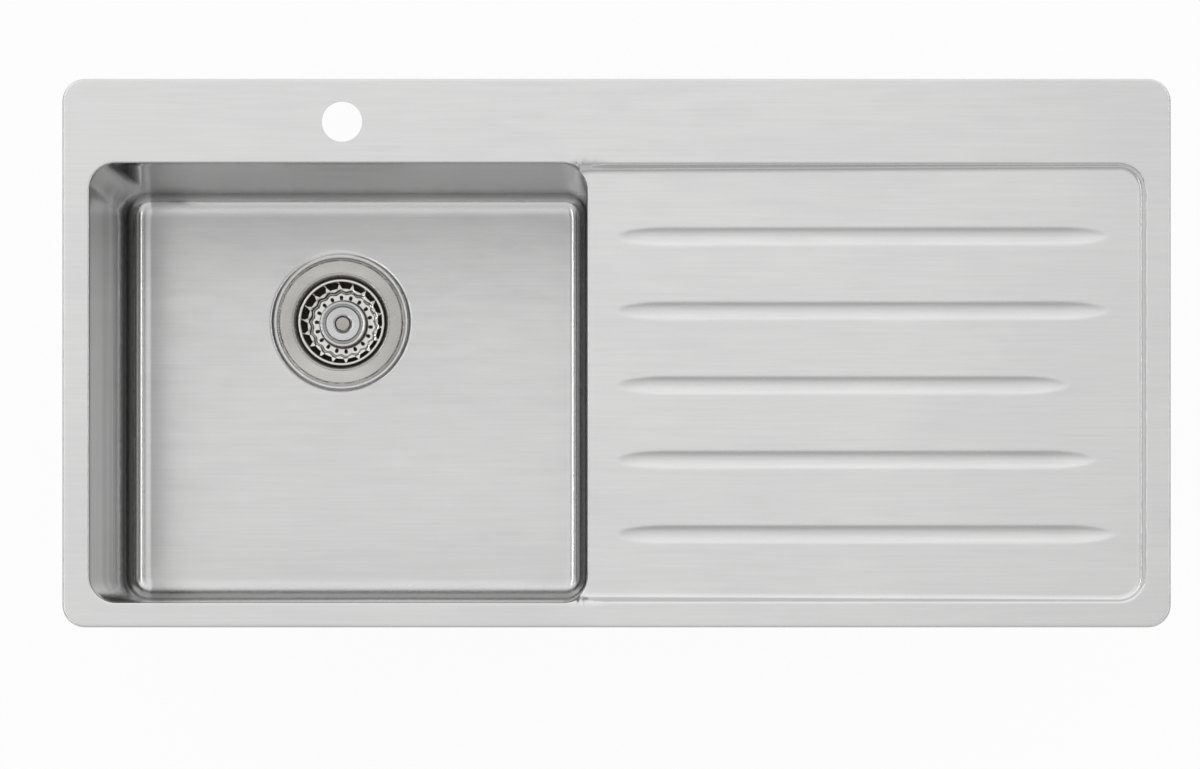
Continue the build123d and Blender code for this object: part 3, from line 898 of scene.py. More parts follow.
def thicken(piece: bpy.types.Object, gauge: float, even: bool = True) -> None:
    """Gives an open sheet its thickness, away from the side that its faces look to.

    Args:
        piece: The sheet.
        gauge: Thickness in millimetres.
        even: Whether sharp folds keep the full thickness.
    """
    wall = piece.modifiers.new("wall", "SOLIDIFY")
    wall.thickness = gauge * MM
    wall.offset = -1.0
    wall.use_even_offset = even


def round_edges(piece: bpy.types.Object, radius: float, segments: int = 2) -> None:
    """Breaks a piece's sharp edges.

    Args:
        piece: The piece.
        radius: Width of the bevel in millimetres.
        segments: Steps across the bevel.
    """
    bevel = piece.modifiers.new("edges", "BEVEL")
    bevel.width = radius * MM
    bevel.segments = segments
    bevel.limit_method = "ANGLE"
    bevel.angle_limit = SMOOTH_ANGLE
    bevel.use_clamp_overlap = True


def draw_section(
    bm: bmesh.types.BMesh, corners: Sequence[Corner], segments: int = 6, closed: bool = False
) -> None:
    """Draws a half section in the XZ plane as a chain of edges with round bends.

    Args:
        bm: The mesh.
        corners: Radius, height and bend radius of each corner.
        segments: Steps round each bend.
        closed: Whether the chain ends where it starts.
    """
    verts = [bm.verts.new((reach, 0.0, level)) for reach, level, _ in corners]
    for start, end in zip(verts, verts[1:]):
        bm.edges.new((start, end))
    if closed:
        bm.edges.new((verts[-1], verts[0]))
    points = [Vector((reach, level)) for reach, level, _ in corners]
    for index, (_, _, bend) in enumerate(corners):
        if bend:
            after = points[(index + 1) % len(points)]
            turn = (points[index] - points[index - 1]).angle(after - points[index])
            bmesh.ops.bevel(
                bm,
                geom=[verts[index]],
                affect="VERTICES",
                offset=bend * tan(turn / 2),
                segments=segments,
                profile=0.5,
                material=-1,
            )


def spin_section(bm: bmesh.types.BMesh, centre: Vector, steps: int) -> None:
    """Spins all edges of a mesh about the upright axis and moves the result to its centre.

    Args:
        bm: The mesh with its half section.
        centre: Place of the axis, in millimetres.
        steps: Steps of the full turn.
    """
    bmesh.ops.spin(
        bm,
        geom=[*bm.verts, *bm.edges],
        cent=(0, 0, 0),
        axis=(0, 0, 1),
        angle=2 * pi,
        steps=steps,
        use_merge=True,
        use_duplicate=False,
    )
    bmesh.ops.remove_doubles(bm, verts=bm.verts, dist=0.001)
    bmesh.ops.recalc_face_normals(bm, faces=bm.faces)
    bmesh.ops.translate(bm, vec=centre, verts=bm.verts)


def spread(start: float, end: float, step: float) -> list[float]:
    """Gives even places from a start to an end, at most a step apart.

    Args:
        start: First place.
        end: Last place.
        step: Widest gap.

    Returns:
        The places, both ends included.
    """
    count = max(1, ceil(abs(end - start) / step))
    return [start + (end - start) * index / count for index in range(count + 1)]


def bend_lines(edge: float, inward: float, radius: float, steps: int = 6) -> list[float]:
    """Gives the places of the lines over a quarter bend at an edge.

    Args:
        edge: Place of the edge.
        inward: 1 or -1, the side on which the bend lies.
        radius: The bend's radius.
        steps: Steps round it.

    Returns:
        The places, from the edge inwards.
    """
    turns = [radians(90 * index / steps) for index in range(steps + 1)]
    return [edge + inward * radius * (1 - cos(turn)) for turn in turns]


def tidy_lines(places: Iterable[float], least: float = 0.04) -> list[float]:
    """Sorts places and drops those that lie on another.

    Args:
        places: The places.
        least: Smallest gap that is kept.

    Returns:
        The sorted places.
    """
    kept: list[float] = []
    for place in sorted(places):
        if not kept or place - kept[-1] > least:
            kept.append(place)
    return kept


@dataclass(frozen=True)
class Outline:
    """A level rectangle with round corners.

    Attributes:
        left: Lowest X.
        right: Highest X.
        front: Lowest Y.
        back: Highest Y.
        radius: Radius of its corners.
    """

    left: float
    right: float
    front: float
    back: float
    radius: float

    def beyond(self, x: float, y: float) -> float:
        """Distance outside the outline, negative inside."""
        wide = abs(x - (self.left + self.right) / 2) - (self.right - self.left) / 2 + self.radius
        deep = abs(y - (self.front + self.back) / 2) - (self.back - self.front) / 2 + self.radius
        outer = hypot(max(wide, 0.0), max(deep, 0.0))
        return outer + min(max(wide, deep), 0.0) - self.radius

    def draw_in(self, x: float, y: float, hold: float, fade: float) -> tuple[float, float]:
        """Draws square grid lines round the corners.

        Args:
            x: Place of a grid point.
            y: Place of a grid point.
            hold: How far outside the outline the lines are quite round.
            fade: How much further they are square again.

        Returns:
            The new place.
        """
        middle_x = (self.left + self.right) / 2
        middle_y = (self.front + self.back) / 2
        wide = abs(x - middle_x) - (self.right - self.left) / 2 + self.radius
        deep = abs(y - middle_y) - (self.back - self.front) / 2 + self.radius
        if wide <= 0 or deep <= 0:
            return x, y
        square = max(wide, deep)
        share = 1 - min(max((square - self.radius - hold) / fade, 0.0), 1.0)
        factor = 1 + share * (square / hypot(wide, deep) - 1)
        side_x = 1 if x > middle_x else -1
        side_y = 1 if y > middle_y else -1
        return (
            x + side_x * wide * (factor - 1),
            y + side_y * deep * (factor - 1),
        )


BANK_REACH = 9.5  # how far the drainboard's bank reaches in from the board's right edge
BEND_STEP = 0.55  # between the grid's lines over the bank's bends
GROOVE_REACH = 11.0  # how far the fine lines reach on each side of a groove
GROOVE_STEP = 0.85  # between them
TAP_STEPS = 14  # lines on each side of the tap hole's centre
SQUARE_FADE = 15.0  # length over which the grid's lines are square again round a corner


@dataclass
class Deck:
    """The pressed sheet with the rim, the tap ledge, the drainboard and its grooves.

    Attributes:
        corner_radius: Radius of its outer corners.
        gauge: Thickness of the sheet.
        edge_bend: Outer radius of the turned-down edge and of the lip.
        weld_level: Foot of the lip round the bowl.
        opening_radius: Radius of the opening's corners.
        left_ledge: Width of the rim left of the bowl.
        right_ledge: Width of the rim right of the drainboard.
        back_ledge: Width of the tap ledge.
        front_ledge: Width of the front rim.
        bowl_length: Length of the opening.
        board_radius: Radius of the drainboard's corners.
        board_depth: Depth of the drainboard at the bowl.
        board_fall: Its fall, in degrees.
        bank_slope: Slope of its bank, in degrees.
        shoulder: Radius at the top of the bank.
        foot_bend: Radius at the foot of the bank.
        groove_back_gap: From the board's back edge to the first groove.
        groove_pitch: From groove to groove.
        groove_start_gap: From the bowl to the grooves' ends.
        groove_end_gaps: From the board's right edge to the grooves' ends.
        groove_depth: Depth of a groove.
        groove_radius: Radius of its section.
        groove_fade: Length over which it rises.
        groove_shoulder: Radius at its edges.
        tap_radius: Radius of the tap hole.
        tap_from_back: From the back edge to its centre.
        tap_from_left: From the left edge to its centre.
    """

    corner_radius: float = 20.0
    gauge: float = 1.0
    edge_bend: float = 2.0
    weld_level: float = -10.0
    opening_radius: float = 23.0
    left_ledge: float = 24.0
    right_ledge: float = 22.0
    back_ledge: float = 74.0
    front_ledge: float = 22.0
    bowl_length: float = 435.0
    board_radius: float = 24.0
    board_depth: float = 7.5
    board_fall: float = 0.35
    bank_slope: float = 52.0
    shoulder: float = 3.0
    foot_bend: float = 6.0
    groove_back_gap: float = 63.0
    groove_pitch: float = 65.3
    groove_start_gap: float = 27.0
    groove_end_gaps: tuple[float, ...] = (33.0, 33.0, 68.0, 45.0, 28.0)
    groove_depth: float = 2.4
    groove_radius: float = 13.0
    groove_fade: float = 42.0
    groove_shoulder: float = 5.0
    tap_radius: float = 17.5
    tap_from_back: float = 37.7
    tap_from_left: float = 244.9

    def __post_init__(self) -> None:
        """Works out the outlines and places from the frame's deck."""
        low, high = node_box("deck")
        self.top = high.z
        self.outer = Outline(low.x, high.x, low.y, high.y, self.corner_radius)
        opening_left = low.x + self.left_ledge
        self.opening = Outline(
            opening_left,
            opening_left + self.bowl_length,
            low.y + self.front_ledge,
            high.y - self.back_ledge,
            self.opening_radius,
        )
        self.board = Outline(
            self.opening.right - self.opening_radius - self.board_radius,
            high.x - self.right_ledge,
            self.opening.front,
            self.opening.back,
            self.board_radius,
        )
        self.tap = Vector((low.x + self.tap_from_left, high.y - self.tap_from_back))
        self.groove_lines = [
            self.board.back - self.groove_back_gap - index * self.groove_pitch
            for index in range(len(self.groove_end_gaps))
        ]
        self.groove_start = self.opening.right + self.groove_start_gap
        self.groove_reach = sqrt(
            (self.groove_radius + self.groove_shoulder) ** 2
            - (self.groove_radius + self.groove_shoulder - self.groove_depth) ** 2
        )

    def floor_level(self, x: float) -> float:
        """Height of the drainboard's floor without its grooves."""
        return self.top - self.board_depth + (x - self.opening.right) * tan(
            radians(self.board_fall)
        )

    def groove_drop(self, x: float, y: float) -> float:
        """Depth of the grooves at a place.

        Args:
            x: Place along the board.
            y: Place across the board.

        Returns:
            How far the sheet lies under the board's floor.
        """
        index = min(
            range(len(self.groove_lines)), key=lambda number: abs(y - self.groove_lines[number])
        )
        off = abs(y - self.groove_lines[index])
        end = self.board.right - self.groove_end_gaps[index]
        rise = max(
            self.groove_start + self.groove_fade - x, x - end + self.groove_fade, 0.0
        )
        if off > self.groove_reach or rise >= self.groove_fade:
            return 0.0
        wide = (self.groove_fade**2 + self.groove_depth**2) / (2 * self.groove_depth)
        depth = self.groove_depth - wide + sqrt(wide**2 - rise**2)
        both = self.groove_radius + self.groove_shoulder
        reach = sqrt(both**2 - (both - depth) ** 2)
        if off > reach:
            return 0.0
        if off > reach * self.groove_radius / both:
            return self.groove_shoulder - sqrt(self.groove_shoulder**2 - (reach - off) ** 2)
        return sqrt(self.groove_radius**2 - off**2) - self.groove_radius + depth

    def sunk(self, x: float, y: float) -> float:
        """Height of the sheet's top before its lip is rolled.

        Args:
            x: Place along the deck.
            y: Place across the deck.

        Returns:
            The height in millimetres.
        """
        inward = -self.board.beyond(x, y)
        slope = radians(self.bank_slope)
        start = self.shoulder * tan(slope / 2)
        if x < self.board.left or inward < -start:
            return self.top
        if inward < start * cos(slope):
            return self.top - self.shoulder + sqrt(self.shoulder**2 - (inward + start) ** 2)
        floor = self.floor_level(x)
        foot = (self.top - floor) / tan(slope)
        tangent = self.foot_bend * tan(slope / 2)
        if inward < foot - tangent * cos(slope):
            return self.top - inward * tan(slope)
        if inward < foot + tangent:
            rest = foot + tangent - inward
            return floor + self.foot_bend - sqrt(self.foot_bend**2 - rest**2)
        return floor - self.groove_drop(x, y)

    def roll(self, distance: float) -> float:
        """Drop of the sheet at a distance from a turned-down edge."""
        rest = self.edge_bend - distance
        if rest <= 0:
            return 0.0
        return self.edge_bend - sqrt(self.edge_bend**2 - min(rest, self.edge_bend) ** 2)

    def tap_lines(self, middle: float) -> list[float]:
        """Places of the fine lines round the tap hole, whose centre lies at the middle."""
        reach = 2 * self.tap_radius - 1.0
        return spread(middle - reach, middle + reach, reach / TAP_STEPS)

    def lines_along(self) -> list[float]:
        """Places of the grid's lines across X."""
        outer, opening, board = self.outer, self.opening, self.board
        ends = board.right - min(self.groove_end_gaps) + 2
        first_end = board.right - max(self.groove_end_gaps) - self.groove_fade - 2
        bank = board.right - BANK_REACH
        tap_lines = self.tap_lines(self.tap.x)
        return tidy_lines(
            [
                *bend_lines(outer.left, 1, self.edge_bend),
                *spread(outer.left + self.edge_bend, outer.left + self.corner_radius, 2.5),
                *bend_lines(opening.left, -1, self.edge_bend),
                *spread(opening.left, opening.left + self.opening_radius, 2.6),
                *spread(opening.left + self.opening_radius, tap_lines[0], 30),
                *tap_lines,
                *spread(tap_lines[-1], opening.right - self.opening_radius, 30),
                *spread(opening.right - self.opening_radius, opening.right, 2.2),
                *bend_lines(opening.right, 1, self.edge_bend),
                *spread(opening.right + self.edge_bend, self.groove_start - 2, 4.0),
                *spread(self.groove_start - 2, self.groove_start + self.groove_fade + 2, 3.0),
                *spread(self.groove_start + self.groove_fade + 2, first_end, 24.0),
                *spread(first_end, ends, 3.0),
                *spread(ends, bank, 2.5),
                *spread(bank, board.right + 2, BEND_STEP),
                *spread(board.right + 2, outer.right - self.edge_bend, 2.5),
                *bend_lines(outer.right, -1, self.edge_bend),
            ]
        )

    def lines_across(self) -> list[float]:
        """Places of the grid's lines across Y."""
        outer, opening = self.outer, self.opening
        front_bank, back_bank = opening.front + 10, opening.back - 10
        tap_lines = self.tap_lines(self.tap.y)
        places = [
            *bend_lines(outer.front, 1, self.edge_bend),
            *spread(outer.front + self.edge_bend, opening.front - 2, 2.5),
            *bend_lines(opening.front, -1, self.edge_bend),
            *spread(opening.front - 1.6, front_bank, BEND_STEP),
            *spread(front_bank, opening.front + self.board_radius, 2.2),
            *spread(opening.front + self.board_radius, self.groove_lines[-1] - GROOVE_REACH, 5.0),
            *spread(self.groove_lines[0] + GROOVE_REACH, opening.back - self.board_radius, 5.0),
            *spread(opening.back - self.board_radius, back_bank, 2.2),
            *spread(back_bank, opening.back + 1.6, BEND_STEP),
            *bend_lines(opening.back, 1, self.edge_bend),
            *spread(opening.back + self.edge_bend, tap_lines[0], 2.0),
            *tap_lines,
            *spread(tap_lines[-1], outer.back - self.edge_bend, 2.5),
            *bend_lines(outer.back, -1, self.edge_bend),
        ]
        for line in self.groove_lines:
            places += spread(line - GROOVE_REACH, line + GROOVE_REACH, GROOVE_STEP)
        for upper, lower in zip(self.groove_lines, self.groove_lines[1:]):
            places += spread(upper - GROOVE_REACH, lower + GROOVE_REACH, 8.0)
        return tidy_lines(places)

    def build(self) -> bpy.types.Object:
        """Builds and dresses the deck.

        Returns:
            The finished piece.
        """
        along, across = self.lines_along(), self.lines_across()
        bm = bmesh.new()
        made = bmesh.ops.create_grid(
            bm, x_segments=len(along) - 1, y_segments=len(across) - 1, size=0.5
        )
        for vert in made["verts"]:
            column = round((vert.co.x + 0.5) * (len(along) - 1))
            row = round((vert.co.y + 0.5) * (len(across) - 1))
            vert.co = Vector((along[column], across[row], 0.0))
        cut = [face for face in bm.faces if self.is_cut(face.calc_center_median())]
        bmesh.ops.delete(bm, geom=cut, context="FACES")
        tap = Outline(
            self.tap.x - self.tap_radius,
            self.tap.x + self.tap_radius,
            self.tap.y - self.tap_radius,
            self.tap.y + self.tap_radius,
            self.tap_radius,
        )
        for vert in bm.verts:
            x, y = self.opening.draw_in(vert.co.x, vert.co.y, self.edge_bend + 1, SQUARE_FADE)
            x, y = tap.draw_in(x, y, 1.0, SQUARE_FADE)
            if x > self.board.right - self.board_radius:
                x, y = self.board.draw_in(x, y, self.edge_bend + 1, SQUARE_FADE)
            x, y = self.outer.draw_in(x, y, 1.0, 1.0)
            level = self.sunk(x, y)
            level -= self.roll(self.opening.beyond(x, y))
            level -= self.roll(-self.outer.beyond(x, y))
            vert.co = Vector((x, y, level))
        self.turn_down(bm)
        face_up(bm)
        sharpen(bm)
        piece = finish_piece(bm, "deck_sheet", "sink", Finish.SHEET, ["deck"])
        thicken(piece, self.gauge)
        return piece

    def is_cut(self, point: Vector) -> bool:
        """Says whether a point of the square grid lies in the opening or in the tap hole."""
        in_opening = (
            self.opening.left < point.x < self.opening.right
            and self.opening.front < point.y < self.opening.back
        )
        off = point.xy - self.tap
        return in_opening or max(abs(off.x), abs(off.y)) < self.tap_radius

    def turn_down(self, bm: bmesh.types.BMesh) -> None:
        """Draws the lip down to its weld and the rim down to the bench.

        Args:
            bm: The deck's sheet.
        """
        for outline, foot in ((self.opening, self.weld_level), (self.outer, 0.0)):
            edges = [
                edge
                for edge in bm.edges
                if edge.is_boundary
                and all(abs(outline.beyond(vert.co.x, vert.co.y)) < 0.02 for vert in edge.verts)
            ]
            drawn = bmesh.ops.extrude_edge_only(bm, edges=edges)
            for item in drawn["geom"]:
                if isinstance(item, bmesh.types.BMVert):
                    item.co.z = foot


BOWL_STEPS = 14  # steps round the bowl's corners and round its floor's bend
SEAT_STEPS = 96  # steps round the seat of the waste


@dataclass
class Bowl:
    """The drawn shell with its round floor edge and the pressed seat of the waste.

    Attributes:
        corner_radius: Radius of its corners at the weld.
        gauge: Thickness of the sheet.
        draft: Lean of its walls, in degrees.
        floor_bend: Radius between the walls and the floor.
        seat_foot: Radius at the foot of the seat's slope.
        seat_slope: The slope, in degrees.
        seat_depth: Depth of the seat.
        mouth_bend: Radius at the top of the seat's slope.
        root_bend: Radius at its foot.
        hole_radius: Radius of the waste hole.
    """

    corner_radius: float = 23.0
    gauge: float = 1.0
    draft: float = 0.6
    floor_bend: float = 19.0
    seat_foot: float = 63.0
    seat_slope: float = 45.0
    seat_depth: float = 3.0
    mouth_bend: float = 5.0
    root_bend: float = 1.5
    hole_radius: float = 45.0

    def build(self, waste: Vector) -> bpy.types.Object:
        """Builds and dresses the bowl.

        Args:
            waste: Place of the waste's axis.

        Returns:
            The finished piece.
        """
        low, high = node_box("bowl")
        wall = Vector((self.gauge, self.gauge, self.gauge))
        low, high = low + wall, high - wall
        top = high.z + self.gauge
        floor = low.z + self.seat_depth
        bm = bmesh.new()
        made = bmesh.ops.create_grid(bm, x_segments=1, y_segments=1, size=0.5)
        bmesh.ops.scale(bm, vec=(high.x - low.x, high.y - low.y, 1.0), verts=made["verts"])
        middle = (low + high) / 2
        bmesh.ops.translate(bm, vec=(middle.x, middle.y, top), verts=made["verts"])
        bmesh.ops.bevel(
            bm,
            geom=bm.verts[:],
            affect="VERTICES",
            offset=self.corner_radius,
            segments=BOWL_STEPS,
            profile=0.5,
            material=-1,
        )
        lean = radians(self.draft)
        foot = (top - floor) * tan(lean) + self.floor_bend * tan((pi / 2 - lean) / 2)
        turns = [lean + (pi / 2 - lean) * index / BOWL_STEPS for index in range(BOWL_STEPS + 1)]
        steps = [
            (foot - self.floor_bend * cos(turn), floor + self.floor_bend * (1 - sin(turn)))
            for turn in turns
        ]
        steps += [(foot + 1.0, floor)]
        face = max(bm.faces, key=lambda item: item.calc_area())
        inset, level = 0.0, top
        for next_inset, next_level in steps:
            bmesh.ops.inset_region(
                bm,
                faces=[face],
                thickness=next_inset - inset,
                depth=next_level - level if face.normal.z > 0 else level - next_level,
                use_even_offset=True,
                use_boundary=True,
            )
            inset, level = next_inset, next_level
        bmesh.ops.delete(bm, geom=[face], context="FACES")
        rim = [edge for edge in bm.edges if edge.is_boundary and edge.verts[0].co.z < floor + 1]
        self.press_seat(bm, waste, floor, rim)
        face_up(bm)
        sharpen(bm)
        piece = finish_piece(bm, "bowl_shell", "sink", Finish.SHEET, ["bowl"])
        thicken(piece, self.gauge)
        return piece

    def press_seat(
        self, bm: bmesh.types.BMesh, waste: Vector, floor: float, rim: list[bmesh.types.BMEdge]
    ) -> None:
        """Adds the seat of the waste and the flat floor round it.

        Args:
            bm: The bowl's mesh.
            waste: Place of the waste's axis.
            floor: Height of the floor.
            rim: Edges round the floor.
        """
        seat = bmesh.new()
        mouth = self.seat_foot + self.seat_depth / tan(radians(self.seat_slope))
        draw_section(
            seat,
            [
                (mouth + self.mouth_bend, floor, 0),
                (mouth, floor, self.mouth_bend),
                (self.seat_foot, floor - self.seat_depth, self.root_bend),
                (self.hole_radius, floor - self.seat_depth, 0),
            ],
        )
        spin_section(seat, Vector((waste.x, waste.y, 0)), SEAT_STEPS)
        pressed = bpy.data.meshes.new("seat")
        seat.to_mesh(pressed)
        seat.free()
        bm.from_mesh(pressed)
        bpy.data.meshes.remove(pressed)
        bm.edges.ensure_lookup_table()
        mouth_edges = [
            edge
            for edge in bm.edges
            if edge.is_boundary
            and all(
                abs((vert.co.xy - waste.xy).length - mouth - self.mouth_bend) < 0.01
                for vert in edge.verts
            )
        ]
        bmesh.ops.triangle_fill(
            bm, use_beauty=True, use_dissolve=False, edges=[*rim, *mouth_edges], normal=(0, 0, 1)
        )


@dataclass
class Turned:
    """A piece turned or pressed about the waste's axis.

    Attributes:
        name: The piece's name.
        node: Solid that it replaces.
        body: Body that it rides on.
        finish: Its finish.
        corners: Radius, height and bend radius of its half section's corners.
        gauge: Thickness of the sheet, or 0 for a solid section.
        steps: Steps of the full turn.
    """

    name: str
    node: str
    body: str
    finish: Finish
    corners: Sequence[Corner]
    gauge: float = 0.0
    steps: int = 144

    def build(self) -> bpy.types.Object:
        """Builds and dresses the piece.

        Returns:
            The finished piece.
        """
        bm = bmesh.new()
        on_axis = self.corners[0][0] == 0.0
        draw_section(bm, self.corners, closed=not (self.gauge or on_axis))
        spin_section(bm, waste_axis(), self.steps)
        if self.gauge:
            face_up(bm)
        sharpen(bm)
        piece = finish_piece(bm, self.name, self.body, self.finish, [self.node])
        if self.gauge:
            thicken(piece, self.gauge)
        return piece


@dataclass
class Waste:
    """The waste's pressed flange and cup, and the turned pieces that ride in it.

    Attributes:
        flange_radius: Radius of the flange.
        gauge: Thickness of the flange and cup.
        cup_radius: Inner radius of the cup.
        toe_radius: Radius at the foot of its wall.
        outlet_radius: Radius of its outlet.
        knob_radius: Radius of the knob.
        disc_radius: Radius of the disc in its top.
        button_radius: Radius of the rivet's head.
        stem_radius: Radius of the rivet's stem.
        play: Gap between the stem and what it passes through.
    """

    flange_radius: float = 61.0
    gauge: float = 1.0
    cup_radius: float = 43.2
    toe_radius: float = 40.5
    outlet_radius: float = 19.5
    knob_radius: float = 22.0
    disc_radius: float = 16.0
    button_radius: float = 7.85
    stem_radius: float = 3.0
    play: float = 0.05

    def pieces(self) -> list[Turned]:
        """Gives the turned pieces of the waste."""
        return [self.cup(), self.knob(), self.rivet()]

    def cup(self) -> Turned:
        """Gives the flange and cup, with a bead and a fine groove round the flange."""
        low, high = node_box("waste_body")
        top, floor = high.z, low.z + self.gauge
        bead = self.flange_radius - 2.0
        corners = [
            (self.flange_radius, top - 1.7, 0),
            (self.flange_radius, top - 1.0, 0.6),
            (bead, top - 0.2, 0.4),
            (bead - 0.4, top - 1.0, 0.15),
            (bead - 1.1, top - 1.0, 0.15),
            (bead - 1.5, top, 0.3),
            (self.cup_radius + 3.4, top - 0.3, 0.5),
            (self.cup_radius + 2.9, top - 0.6, 0.3),
            (self.cup_radius + 1.2, top - 1.0, 1.0),
            (self.cup_radius, top - 4.2, 2.6),
            (self.cup_radius, floor + 13.0, 8.0),
            (self.toe_radius, floor + 1.2, 3.0),
            (self.outlet_radius + 7.5, floor, 3.0),
            (self.outlet_radius, floor, 0),
        ]
        return Turned("waste_cup", "waste_body", "sink", Finish.WASTE, corners, self.gauge, 180)

    def knob(self) -> Turned:
        """Gives the knob with its rolled rim, its groove and its raised disc."""
        low, high = node_box("knob")
        foot, top = low.z, high.z
        reach, disc = self.knob_radius, self.disc_radius
        bore = self.stem_radius + self.play
        corners = [
            (bore, foot, 0),
            (reach - 6.5, foot, 0.5),
            (reach - 6.5, foot + 2.0, 0.8),
            (reach, foot + 5.5, 0.8),
            (reach, top - 0.2, 0.9),
            (reach - 1.6, top, 0.8),
            (reach - 3.1, top - 0.3, 0.7),
            (disc + 2.1, top - 2.3, 0.3),
            (disc - 0.3, top - 0.5, 0.7),
            (self.button_radius + 1.6, top - 0.8, 3.0),
            (self.button_radius + 0.2, top - 1.3, 0.5),
            (bore, top - 1.3, 0),
        ]
        return Turned("knob_cap", "knob", "basket", Finish.KNOB, corners)

    def rivet(self) -> Turned:
        """Gives the rivet: the button in the knob's middle, its stem and its closed foot."""
        low, high = node_box("rivet")
        foot, top = low.z, high.z
        seat = top - 1.4
        corners = [
            (0, top, 0),
            (self.button_radius - 1.8, top - 0.05, 1.0),
            (self.button_radius, seat + 0.1, 0.1),
            (self.button_radius - 0.3, seat, 0),
            (self.stem_radius, seat, 0),
            (self.stem_radius, foot + 1.0, 0.2),
            (self.stem_radius + 0.5, foot + 1.0, 0.2),
            (self.stem_radius + 0.5, foot, 0.3),
            (0, foot, 0),
        ]
        return Turned("rivet_button", "rivet", "basket", Finish.BUTTON, corners, 0.0, 72)


